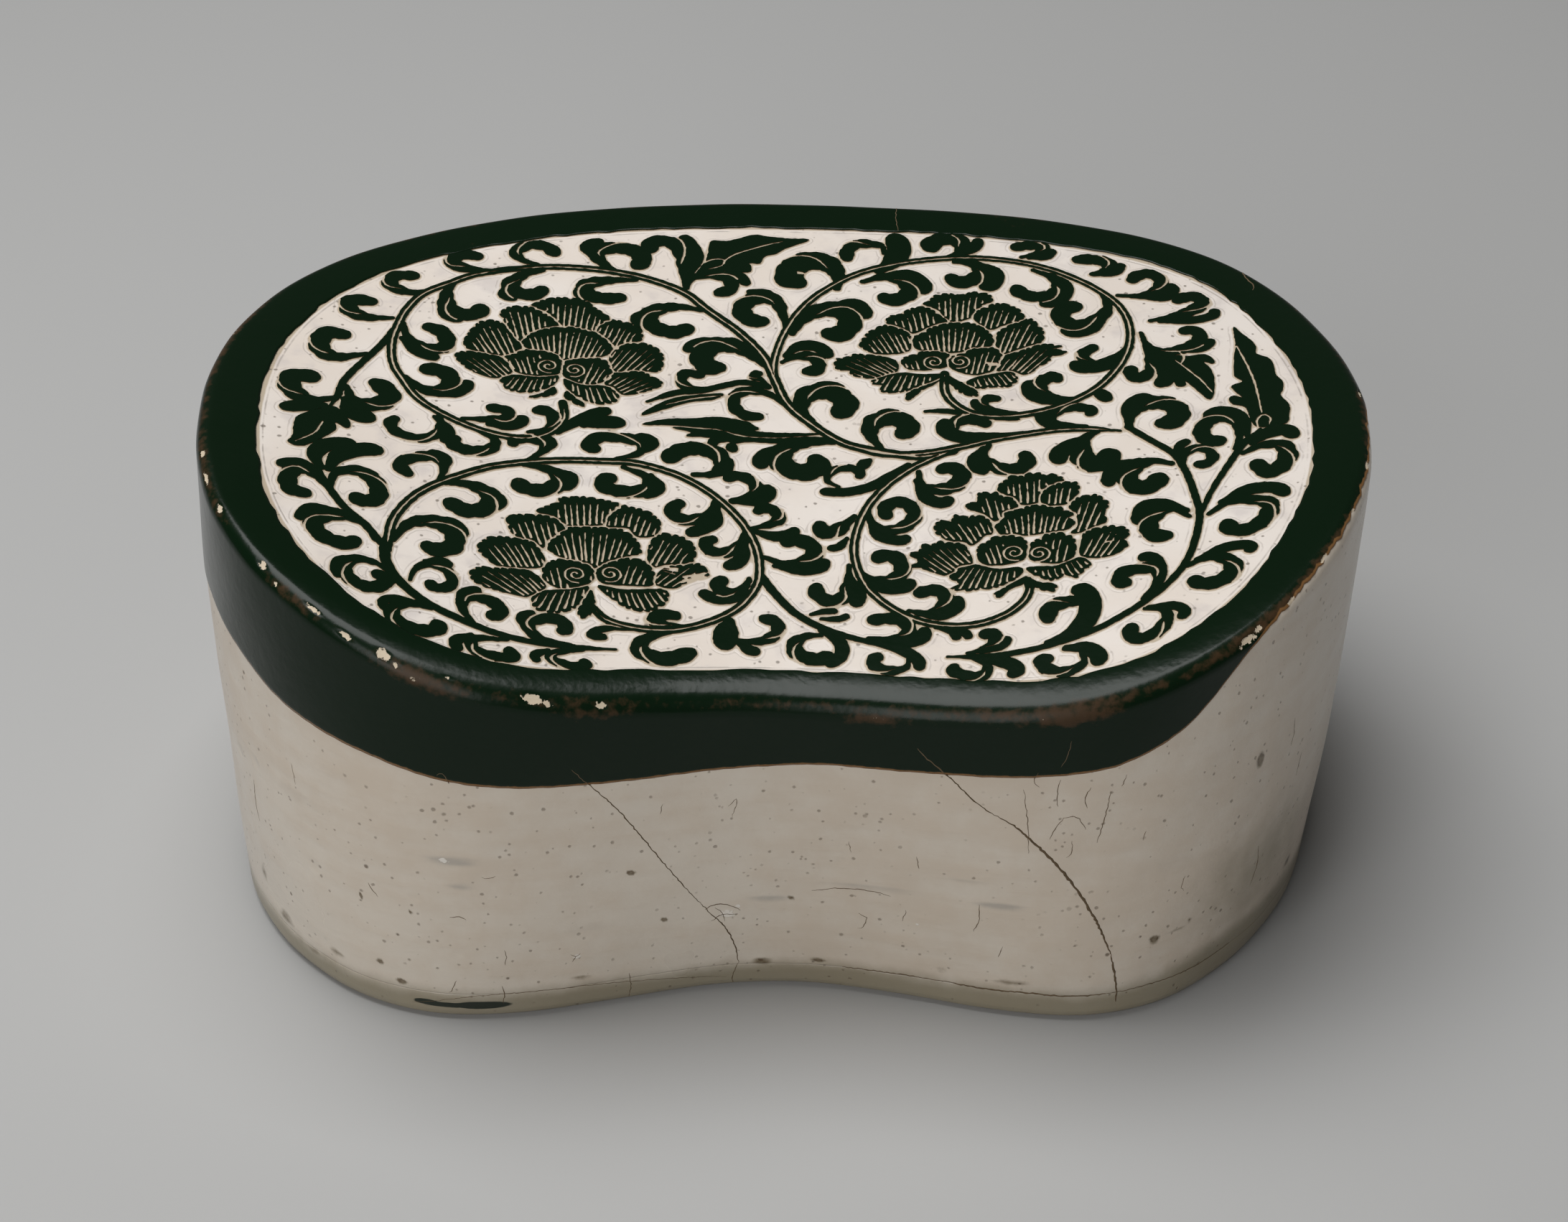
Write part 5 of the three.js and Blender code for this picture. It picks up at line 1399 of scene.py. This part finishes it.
def thinned(loop, slack):
    # the fewest points of a loop that stay within a slack of it
    keep = np.zeros(len(loop), bool)
    far = int(np.argmax(np.linalg.norm(loop - loop[0], axis=1)))
    closed = np.vstack([loop, loop[:1]])
    keep[[0, far]] = True
    spans = [(0, far), (far, len(loop))]
    while spans:
        a, b = spans.pop()
        if b - a < 2:
            continue
        d = closed[b] - closed[a]
        length = max(float(np.hypot(*d)), 1e-9)
        rest = closed[a + 1:b] - closed[a]
        gap = np.abs(rest[:, 0] * d[1] - rest[:, 1] * d[0]) / length
        k = int(np.argmax(gap))
        if gap[k] > slack:
            keep[a + 1 + k] = True
            spans += [(a, a + 1 + k), (a + 1 + k, b)]
    return loop[keep]


def loopArea(loop):
    after = np.roll(loop, -1, 0)
    return float((loop[:, 0] * after[:, 1] - loop[:, 1] * after[:, 0]).sum() / 2)


def fillLoops(sketch, field, loops, pitch):
    # triangles of the inside, with a few points within so that they follow the dished headrest
    points = []
    edges = []
    for loop in loops:
        start = len(points)
        points += [Vector((float(x), float(y))) for x, y in loop]
        edges += [(start + k, start + (k + 1) % len(loop)) for k in range(len(loop))]
    xs = np.arange(sketch.low[0] + pitch, -sketch.low[0], pitch)
    ys = np.arange(sketch.low[1] + pitch, -sketch.low[1], pitch)
    lattice = np.stack([a.ravel() for a in np.meshgrid(xs, ys)], 1)
    lattice = lattice[sketch.sample(field, lattice) < -0.9]
    points += [Vector((float(x), float(y))) for x, y in lattice]
    verts, _, faces, _, _, _ = geometry.delaunay_2d_cdt(points, edges, [], 0, 1e-5)
    flat = np.array([(v.x, v.y) for v in verts])
    faces = np.array([face[:] for face in faces])
    middles = flat[faces].mean(1)
    corners = flat[faces] * 0.6 + middles[:, None] * 0.4
    depth = sketch.sample(field, middles)
    for k in range(3):
        depth = depth + sketch.sample(field, corners[:, k])
    return flat, faces[depth < 0]


def openSides(faces):
    # sides that only one triangle has, in its order
    sides = np.vstack([faces[:, [0, 1]], faces[:, [1, 2]], faces[:, [2, 0]]])
    known = {(int(p), int(q)) for p, q in sides}
    return np.array([(p, q) for p, q in known if (q, p) not in known])


def partedPlates(flat, faces):
    # where two plates touch at one point, each gets its own, drawn in a little
    starts, times = np.unique(openSides(faces)[:, 0], return_counts=True)
    for point in starts[times > 1]:
        left = list(np.flatnonzero((faces == point).any(axis=1)))
        while left:
            fan = [left.pop()]
            for _ in range(len(left)):
                mates = set(faces[fan].ravel()) - {point}
                joined = [k for k in left if mates & set(faces[k])]
                fan += joined
                left = [k for k in left if k not in joined]
            inward = flat[faces[fan]].mean(axis=(0, 1)) - flat[point]
            place = flat[point] + inward / np.linalg.norm(inward) * scroll["pinchGap"]
            corner = faces[fan]
            if left:
                flat = np.vstack([flat, place])
                corner[corner == point] = len(flat) - 1
                faces[fan] = corner
            else:
                flat[point] = place
    return flat, faces


def raisedPiece(name, flat, faces):
    # a closed plate over flat triangles, its cut sides leaning out below
    used, faces = np.unique(faces, return_inverse=True)
    faces = faces.reshape(-1, 3)
    flat = flat[used]
    a, b, c = flat[faces[:, 0]], flat[faces[:, 1]], flat[faces[:, 2]]
    turned = (b - a)[:, 0] * (c - a)[:, 1] - (b - a)[:, 1] * (c - a)[:, 0]
    faces = faces[np.abs(turned) > 1e-9]
    turned = turned[np.abs(turned) > 1e-9]
    faces[turned < 0] = faces[turned < 0][:, ::-1]
    flat, faces = partedPlates(flat, faces)
    rim = openSides(faces)
    along = flat[rim[:, 1]] - flat[rim[:, 0]]
    out = np.stack([along[:, 1], -along[:, 0]], 1)
    out /= np.linalg.norm(out, axis=1)[:, None] + 1e-9
    lean = np.zeros_like(flat)
    np.add.at(lean, rim[:, 0], out)
    np.add.at(lean, rim[:, 1], out)
    length = np.linalg.norm(lean, axis=1)[:, None]
    lean = np.where(length > 0.3, lean / np.maximum(length, 0.3), 0) * scroll["flare"]
    plan = flat + planShift
    height = topHeight(plan[:, 0], plan[:, 1])
    count = len(flat)
    rings = []
    steps = [(0, 0), (scroll["bevelWidth"], -scroll["bevelDrop"]),
             (1, scroll["footLift"] - scroll["relief"]), (1, -scroll["depth"])]
    for out, drop in steps:
        rings.append(np.column_stack([flat + lean * out, height + drop]))
    verts = np.vstack([rings[0], rings[3]]) * mm
    shell = [tuple(int(v) for v in face) for face in faces]
    shell += [tuple(int(v) + count for v in face[::-1]) for face in faces]
    brink = np.unique(rim)
    order = np.full(count, -1)
    order[brink] = np.arange(len(brink))
    verts = np.vstack([verts, rings[1][brink] * mm, rings[2][brink] * mm])
    first = 2 * count
    second = first + len(brink)
    for p, q in rim:
        p, q = int(p), int(q)
        i, j = int(order[p]), int(order[q])
        shell.append((q, p, first + i, first + j))
        shell.append((first + j, first + i, second + i, second + j))
        shell.append((second + j, second + i, p + count, q + count))
    mesh = bpy.data.meshes.new(name)
    mesh.from_pydata([tuple(v) for v in verts], [], shell)
    mesh.update()
    piece = bpy.data.objects.new(name, mesh)
    bpy.context.collection.objects.link(piece)
    foot = [np.zeros(count), np.full(count, 2.0), np.full(len(brink), 1.0), np.full(len(brink), 2.0)]
    setAttribute(piece, "edge", np.concatenate(foot))
    print(name, len(mesh.vertices), "points,", 2 * len(faces) + 6 * len(rim), "triangles")
    return piece


loops = [loop for loop in outlineLoops(sketch, carved) if abs(loopArea(loop)) > scroll["leastArea"]]
loops = [thinned(loop, scroll["slack"]) for loop in loops]
loops = [loop for loop in loops if len(loop) > 3]
print("scroll outlined", len(loops), "loops", sum(len(loop) for loop in loops), "points")
flat, inked = fillLoops(sketch, carved, loops, scroll["innerPitch"])
scrollPiece = raisedPiece("carved_scroll", flat, inked)
finishPiece(scrollPiece, darkSlip, "dark_slip")
print("scroll raised")

# White ground between the carved leaves, the slip cut away down to the slab
ground = {
    "size": (300, 206),
    "pitch": 0.8,
    "under": 8.5,
    "edgeEvery": 6,
    "undersideRings": 9,
}


def borderGap(at):
    # distance from the border's inner edge
    share = np.arange(0, denseCount, 3) / denseCount
    line = around(rim, share) - around(rimOut, share) * borderWidth(share)[:, None] - planShift
    return -polygonGap(line, at)


def makeGround():
    across, along = ground["size"]
    sheet = newGrid("headrest_ground", int(across / ground["pitch"]), int(along / ground["pitch"]))
    at = getPoints(sheet)[:, :2] * np.array([across, along]) / 2
    every = ground["edgeEvery"]
    edgeLine = rim[::every] - rimOut[::every] * ground["under"] - planShift
    outside = polygonGap(edgeLine, at) > 0
    bpy.ops.object.mode_set(mode="EDIT")
    bpy.ops.mesh.select_all(action="DESELECT")
    bpy.ops.object.mode_set(mode="OBJECT")
    sheet.data.vertices.foreach_set("select", outside)
    bpy.ops.object.mode_set(mode="EDIT")
    bpy.ops.mesh.select_mode(type="VERT")
    bpy.ops.mesh.delete(type="VERT")
    bpy.ops.object.mode_set(mode="OBJECT")
    at = at[~outside]
    plan = at + planShift
    points = np.column_stack([at, topHeight(plan[:, 0], plan[:, 1]) - scroll["relief"]])
    setPoints(sheet, points * mm)
    setAttribute(sheet, "away", sketch.sample(carved, at))
    setAttribute(sheet, "brim", borderGap(at))
    editAll(sheet)
    bpy.ops.mesh.region_to_loop()
    bpy.ops.mesh.extrude_edges_move(TRANSFORM_OT_translate={"value": (0, 0, -form["headrestThickness"] * mm)})
    # the dished underside, ring by ring towards the middle
    rings = ground["undersideRings"]
    for k in range(rings):
        bpy.ops.mesh.extrude_edges_move()
        bpy.ops.object.mode_set(mode="OBJECT")
        points = getPoints(sheet) / mm
        picked = np.zeros(len(points), bool)
        sheet.data.vertices.foreach_get("select", picked)
        ring = points[picked]
        ring[:, :2] *= (rings - k) / (rings - k + 1)
        plan = ring[:, :2] + planShift
        ring[:, 2] = topHeight(plan[:, 0], plan[:, 1]) - form["headrestThickness"]
        points[picked] = ring
        setPoints(sheet, points * mm)
        bpy.ops.object.mode_set(mode="EDIT")
    bpy.ops.mesh.edge_face_add()
    endEdit()
    bpy.ops.object.shade_smooth()
    return sheet


groundPiece = makeGround()
finishPiece(groundPiece, carvedWhite, "white_slip", "headrest_slab")
print("ground made", len(groundPiece.data.polygons), "faces")

# White wall, from under the dark slip down to the floor slab, and the slab it stands on
wall = {
    "rows": 75,
    "columns": 1080,
    "depth": 0.3,
    "start": 1.2,
    "seam": 0.06,
    "ventDiameter": 6,
    "ventHeight": 70,
    "ventOffset": 20,
    # the row just over the foot, then the inner face's first and last, the foot lying between
    "outerRows": 65,
    "footGap": 0.3,
    "innerFrom": 67,
    "innerTo": 74,
    "ceilingDrop": 4,
    "glazeRise": 17,
    # greener glaze with painted shade on the right front corner, then grey smudges, all in one form:
    # share, height, half length, half height in mm, strength
    "greenGlazeAndShade": [(0.91, 32, 42, 30, 0.44)],
    "smudges": [(0.655, 55, 7, 1.5, 1.0), (0.658, 47, 4, 1.1, 0.8), (0.748, 34, 6, 1.2, 0.9),
        (0.778, 39.5, 15, 0.9, 0.9), (0.815, 39, 7, 1.2, 1.0), (0.806, 46, 9, 0.8, 0.6),
        (0.695, 30, 12, 3, 0.35), (0.87, 50, 20, 6, 0.3), (0.6, 60, 16, 5, 0.3), (0.57, 25, 14, 6, 0.35)],
    # pale flaked spots: share, height, half length, half height
    "flakes": [(0.7355, 29, 1.7, 1.4), (0.7385, 31.5, 0.9, 0.7), (0.6915, 20, 1.1, 0.9),
        (0.653, 55.2, 1.6, 0.5), (0.7915, 28, 0.8, 0.6), (0.845, 90, 0.8, 0.6)],
    # olive and brown spots in the same form as the smudges
    "stains": [(0.898, 71, 1.4, 2.2, 1.0), (0.864, 25, 1.9, 1.3, 1.0), (0.877, 27, 1.0, 1.0, 0.8),
        (0.871, 26, 5.5, 0.5, 0.5), (0.746, 10, 3.6, 1.4, 0.8), (0.763, 11, 2.2, 1.0, 0.7),
        (0.637, 11, 1.7, 1.0, 0.9), (0.63, 16.5, 1.4, 1.1, 0.8), (0.717, 29, 1.1, 0.9, 1.0),
        (0.707, 47, 1.2, 0.6, 0.9), (0.625, 37, 0.6, 1.1, 0.9), (0.642, 36, 0.6, 0.9, 0.9),
        (0.754, 34.5, 1.0, 0.7, 0.8), (0.955, 30, 2.2, 1.6, 0.6), (0.935, 18, 3, 1.5, 0.6),
        (0.586, 12, 5, 2.5, 0.55), (0.6, 8, 8, 2, 0.55), (0.613, 13, 4, 2, 0.5), (0.572, 20, 3, 5, 0.5),
        (0.82, 12.5, 6, 1.5, 0.5), (0.8, 13, 3, 1.0, 0.55), (0.692, 12, 4, 1, 0.5)],
}


def makeWall():
    r = form["rimRadius"]
    seen = {}

    def place(u, v):
        row = np.rint(v * wall["rows"])
        foot = form["baseThickness"] + wall["seam"]
        side = headPoints(u, wall["depth"], r)[:, 2] - foot
        arc = r * math.pi / 2 - wall["start"]
        last = wall["outerRows"]
        part = np.where(row > last, 2 * arc + side, row / last * (2 * arc + side - wall["footGap"]))
        along = wall["start"] + np.where(part < 2 * arc, part / 2, part - arc)
        outer = coatPoints(u, along, wall["depth"])
        thick = form["wallThickness"]
        ceiling = headPoints(u, thick, r + wall["ceilingDrop"])[:, 2]
        rise = (row - wall["innerFrom"]) / (wall["innerTo"] - wall["innerFrom"])
        inner = skinPoints(u, foot + (ceiling - foot) * np.clip(rise, 0, 1), thick)
        close = coatPoints(u, wall["start"], wall["depth"])
        points = np.where((row <= last + 1)[:, None], outer, inner)
        points = np.where((row == wall["rows"])[:, None], close, points)
        seen.update(wallMarks(u, points[:, 2]))
        return points

    made = wrappedGrid("wall_skin", wall["columns"], wall["rows"], place, seen)
    middle = np.flatnonzero((rim[:, 0] < wall["ventOffset"]) & (rim[:, 1] > 0))[0]
    share = np.array([middle / denseCount])
    at = skinPoints(share, wall["ventHeight"], form["wallThickness"] / 2)
    out = rimOut[middle]
    bpy.ops.object.select_all(action="DESELECT")
    bpy.ops.mesh.primitive_cylinder_add(
        radius=wall["ventDiameter"] / 2 * mm, depth=3 * form["wallThickness"] * mm, vertices=48,
        location=tuple(toFrame(at)[0]), rotation=(math.pi / 2, 0, math.atan2(out[1], out[0]) + math.pi / 2))
    drill = bpy.context.object
    applyModifier(made, "BOOLEAN", object=drill, operation="DIFFERENCE", solver="EXACT")
    bpy.data.objects.remove(drill)
    return made


def wallMarks(share, z):
    # soft marks on the wall and the slab's edge, each 0 to 1
    marks = {}
    for name in ("greenGlazeAndShade", "smudges", "stains"):
        marks[name] = np.zeros_like(share)
        for place, height, length, rise, strength in wall[name]:
            gap = (mmFrom(share, place) / length) ** 2 + ((z - height) / rise) ** 2
            marks[name] = np.maximum(marks[name], strength * np.exp(-gap))
    # the greener glaze of the right front corner, darkened as painted shade, adds to the olive glaze at the
    # foot
    marks["low"] = np.clip(1 - z / wall["glazeRise"], 0, 1) + marks.pop("greenGlazeAndShade")
    marks["flakes"] = spots(share, z, wall["flakes"])
    return marks


def spots(share, z, places):
    # 1 at the middle of each place, a half at its edge, 0 at twice its size
    value = np.zeros_like(share)
    for place, height, length, rise in places:
        value = np.maximum(value, 1 - np.hypot(mmFrom(share, place) / length, (z - height) / rise) / 2)
    return value


wallSkin = makeWall()
finishPiece(wallSkin, wallSlip, "white_slip", "front_wall", "back_wall")
print("wall made", len(wallSkin.data.polygons), "faces")

slab = {
    "rows": 30,
    "columns": 720,
    "bareBelow": 1.6,
    "bareFade": 1.4,
    # dark slip that ran onto the slab's edge: share, height, half length, half height
    "streaks": [(0.653, 5.0, 10, 0.8), (0.663, 5.1, 8, 1.4), (0.645, 5.4, 3.5, 0.9)],
}


def makeSlab():
    seen = {}
    bevel = form["footBevel"]
    depth = wall["depth"]

    def place(u, v):
        # rows from inside the wall, out over the top, down the edge, round the bevel, and under
        row = np.rint(v * slab["rows"])
        top = form["baseThickness"]
        rows = [0, 1, 2, 17, 21, 25, 28, 30]
        insets = [10, 5, depth, depth,
                  depth + 0.5, depth + bevel * 0.9, depth + bevel + 0.6, depth + bevel + 4]
        heights = [top, top, top, bevel + 0.6, bevel * 0.55, 0.25, 0, 0]
        z = np.interp(row, rows, heights)
        points = skinPoints(u, z, np.interp(row, rows, insets))
        seen.update(wallMarks(u, z))
        bare = (slab["bareBelow"] - z) / slab["bareFade"]
        seen.update(streak=np.clip(spots(u, z, slab["streaks"]), 0, 1), bare=np.clip(bare, 0, 1))
        return points

    made = wrappedGrid("floor_slab_coat", slab["columns"], slab["rows"], place, seen)
    editAll(made)
    bpy.ops.mesh.fill_holes(sides=0)
    endEdit()
    return made


floorSlab = makeSlab()
finishPiece(floorSlab, wallSlip, "stoneware", "base_slab")
print("floor slab made", len(floorSlab.data.polygons), "faces")

# Fine cracks in the glaze and the clay, sunk into the skin: greatest half width, then share and height
cracks = {
    "jitter": 0.16,
    "step": 0.8,
    "sunk": 0.45,
    "lowest": 0.8,
    "slopeAtFoot": 0.25,
    "lines": [
        (0.20, [(0.690, 83.5), (0.694, 79), (0.703, 69), (0.711, 57.5), (0.722, 41), (0.728, 33)]),
        (0.24, [(0.728, 33), (0.731, 29), (0.735, 24), (0.738, 17), (0.7395, 10)]),
        (0.15, [(0.7395, 10), (0.738, 5), (0.738, 1.5)]),
        (0.16, [(0.729, 31), (0.732, 32.5), (0.736, 32), (0.7395, 30)]),
        (0.13, [(0.731, 26.5), (0.734, 28.5), (0.7385, 28.5)]),
        (0.12, [(0.732, 31.5), (0.734, 29), (0.735, 26)]),
        (0.22, [(0.788, 88.5), (0.791, 85.5), (0.795, 82.5), (0.807, 72), (0.813, 68.5)]),
        (0.42, [(0.813, 68.5), (0.819, 65), (0.830, 54.5), (0.837, 46), (0.844, 35), (0.850, 23)]),
        (0.32, [(0.850, 23), (0.853, 12), (0.854, 5.5)]),
        (0.12, [(0.831, 94), (0.8305, 90), (0.829, 86)]),
        (0.13, [(0.829, 81.5), (0.8285, 77.5), (0.829, 73)]),
        (0.13, [(0.831, 69.5), (0.829, 66), (0.8275, 62.5)]),
        (0.12, [(0.831, 69.5), (0.835, 69.5), (0.838, 65.5)]),
        (0.15, [(0.844, 77.5), (0.843, 69), (0.8415, 61)]),
        (0.13, [(0.848, 82), (0.847, 78.5)]),
        (0.13, [(0.819, 78), (0.821, 67), (0.822, 57.5)]),
        (0.12, [(0.790, 52.5), (0.791, 48.5)]),
        (0.13, [(0.809, 39), (0.8095, 34), (0.808, 29)]),
        (0.12, [(0.788, 33), (0.787, 29)]),
        (0.12, [(0.817, 25), (0.816, 21)]),
        (0.12, [(0.652, 82), (0.654, 82.5), (0.6555, 79.5)]),
        (0.10, [(0.735, 66.5), (0.7375, 69), (0.736, 63)]),
        (0.12, [(0.628, 42.5), (0.6295, 40.5), (0.631, 38.5)]),
        (0.13, [(0.654, 36), (0.6565, 36.5), (0.659, 35.5)]),
        (0.12, [(0.6895, 21), (0.691, 20), (0.6925, 21)]),
        (0.12, [(0.690, 18.5), (0.691, 20)]),
        (0.13, [(0.670, 25), (0.6705, 22), (0.670, 19.5)]),
        (0.14, [(0.669, 12), (0.6695, 8.5), (0.669, 5.5)]),
        (0.12, [(0.707, 11), (0.7075, 6), (0.707, 1.5)]),
        (0.12, [(0.774, 30), (0.7765, 28.5), (0.7755, 25), (0.774, 24.5)]),
        (0.14, [(0.760, 37), (0.768, 38.5), (0.777, 38.5), (0.783, 37.5)]),
        (0.10, [(0.640, 4.4), (0.66, 8.4), (0.677, 9.1), (0.695, 8.8), (0.712, 7.2), (0.736, 4.4)]),
        (0.30, [(0.800, 9.2), (0.812, 8.9), (0.825, 9.3), (0.838, 8.8), (0.850, 9.1)]),
        (0.22, [(0.770, 9.0), (0.785, 9.3), (0.800, 9.2)]),
        (0.16, [(0.850, 9.1), (0.865, 9.3), (0.880, 9.0), (0.900, 9.2)]),
        (0.14, [(0.905, 40), (0.9065, 33), (0.905, 27)]),
        (0.12, [(0.925, 60), (0.924, 53)]),
        (0.12, [(0.60, 70), (0.6015, 64)]),
        (0.13, [(0.575, 52), (0.574, 44), (0.5755, 39)]),
        (0.13, [(0.838, 79), (0.8365, 75.5), (0.8375, 72.5)]),
        (0.12, [(0.8225, 84), (0.8215, 81), (0.8235, 79)]),
        (0.11, [(0.856, 63), (0.8555, 60)]),
        (0.12, [(0.834, 62), (0.8345, 58.5), (0.833, 56.5)]),
        (0.11, [(0.770, 55), (0.7708, 51.5)]),
        (0.11, [(0.716, 69), (0.7152, 66)]),
        (0.10, [(0.664, 50), (0.6665, 49.6), (0.668, 50.3)]),
        (0.12, [(0.655, 14), (0.6535, 10.5), (0.6525, 9.5)]),
        (0.11, [(0.872, 44), (0.8712, 41), (0.8725, 39)]),
        (0.12, [(0.915, 76), (0.916, 70), (0.9152, 67)]),
    ],
    # on the border and the rim: share, and mm along from where the rim starts to curve
    "rim": [
        (0.16, [(0.2160, -10), (0.2166, -6), (0.2170, -2), (0.2168, 2), (0.2175, 6)]),
        (0.24, [(0.0965, 3.5), (0.0945, 1.0), (0.0900, -0.5), (0.0860, -1.4), (0.0840, -3)]),
    ],
}


def crackCourse(half, points):
    # a crack's uneven course and half widths along it
    line = smoothLine(np.array(points, float) * np.array([rimLength, 1]), cracks["step"])
    count = len(line)
    sway = np.array([[random.uniform(-1, 1), random.uniform(-1, 1)] for _ in range(count)])
    line = (line + sway * cracks["jitter"]) / np.array([rimLength, 1])
    width = half * (0.35 + 0.65 * np.sin(np.linspace(0, 1, count) * math.pi) ** 0.5)
    return line, width * np.array([random.uniform(0.7, 1.25) for _ in range(count)])


def addCrack(curve, points, width):
    # one round line, its radius in mm, since the bevel is one mm deep
    spline = curve.splines.new("POLY")
    spline.points.add(len(points) - 1)
    spline.points.foreach_set("co", np.column_stack([toFrame(points), np.ones(len(points))]).ravel())
    spline.points.foreach_set("radius", width)


def makeCracks():
    bpy.ops.object.select_all(action="DESELECT")
    bpy.ops.curve.primitive_bezier_curve_add()
    drawn = bpy.context.object
    drawn.name = "wall_cracks"
    curve = drawn.data
    curve.dimensions = "3D"
    curve.splines.clear()
    for half, points in cracks["lines"]:
        line, width = crackCourse(half, points)
        u, z = line[:, 0], np.maximum(line[:, 1], cracks["lowest"])
        rise = headPoints(u, wall["depth"], form["rimRadius"])[:, 2]
        skin = wall["depth"] + np.maximum(form["footBevel"] + 0.6 - z, 0) * cracks["slopeAtFoot"]
        slipOver = z > rise - drapeEnd(u) + form["rimRadius"] * math.pi / 2
        skin = np.where(slipOver, 0.0, skin)
        addCrack(curve, skinPoints(u, z, skin + width * cracks["sunk"]), width)
    for half, points in cracks["rim"]:
        line, width = crackCourse(half, points)
        addCrack(curve, coatPoints(line[:, 0], line[:, 1], width * cracks["sunk"]), width)
    curve.bevel_depth = mm
    curve.bevel_resolution = 1
    curve.use_fill_caps = True
    onlySelect(drawn)
    bpy.ops.object.convert(target="MESH")
    made = bpy.context.object
    made.data.name = "wall_cracks"
    return made


crackLines = makeCracks()
finishPiece(crackLines, crackClay, "stoneware")
print("cracks made", len(crackLines.data.polygons), "faces")

# The clay pieces hidden inside keep their form and get the bare clay
for name in ("lower_luting_coil", "upper_luting_coil", "left_seam_strip", "right_seam_strip"):
    hidden = bpy.data.objects[name]
    hidden.data.materials.clear()
    hidden.data.materials.append(bareClay)
print("hidden clay finished")

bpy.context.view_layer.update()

# Floor, light and camera
studio = {
    "floor": (0.46, 0.46, 0.455),
    "cameraPlace": (4.46, -773.2, 582.0),
    "cameraPitch": 33.963,
    "cameraTurn": 0.411,
    "lens": 79.75,
    "sensor": 36,
    "sky": (1.0, 0.985, 0.96),
    "skyStrength": 0.08,
    "aim": (0, 0, 0.08),
    # each lamp: name, place and size in metres, power in watts
    "lamps": [("key", (-0.35, 0.12, 1.6), 1.1, 22.5), ("front", (-0.75, -1.65, 0.85), 1.1, 14.0)],
}


def makeStudio():
    bpy.ops.object.select_all(action="DESELECT")
    bpy.ops.mesh.primitive_plane_add(size=8, location=(0, 0, 0))
    floor = bpy.context.object
    floor.name = "floor"
    f = Finish("pale_floor")
    f.set(Base_Color=studio["floor"], Roughness=0.9, Specular_IOR_Level=0.1)
    floor.data.materials.append(f.material)
    world = bpy.data.worlds.new("studio")
    world.use_nodes = True
    sky = world.node_tree.nodes["Background"]
    sky.inputs["Color"].default_value = (*studio["sky"], 1.0)
    sky.inputs["Strength"].default_value = studio["skyStrength"]
    bpy.context.scene.world = world
    for name, place, size, power in studio["lamps"]:
        bpy.ops.object.light_add(type="AREA", location=place)
        lamp = bpy.context.object
        lamp.name = name
        lamp.data.size = size
        lamp.data.energy = power
        ray = Vector(studio["aim"]) - Vector(place)
        lamp.rotation_euler = ray.to_track_quat("-Z", "Y").to_euler()
    bpy.ops.object.camera_add(
        location=Vector(studio["cameraPlace"]) * mm,
        rotation=(math.radians(90 - studio["cameraPitch"]), 0, math.radians(studio["cameraTurn"])))
    camera = bpy.context.object
    camera.data.lens = studio["lens"]
    camera.data.sensor_width = studio["sensor"]
    camera.data.sensor_fit = "HORIZONTAL"
    bpy.context.scene.camera = camera
    bpy.context.scene.view_settings.view_transform = "Standard"


makeStudio()
print("studio made")
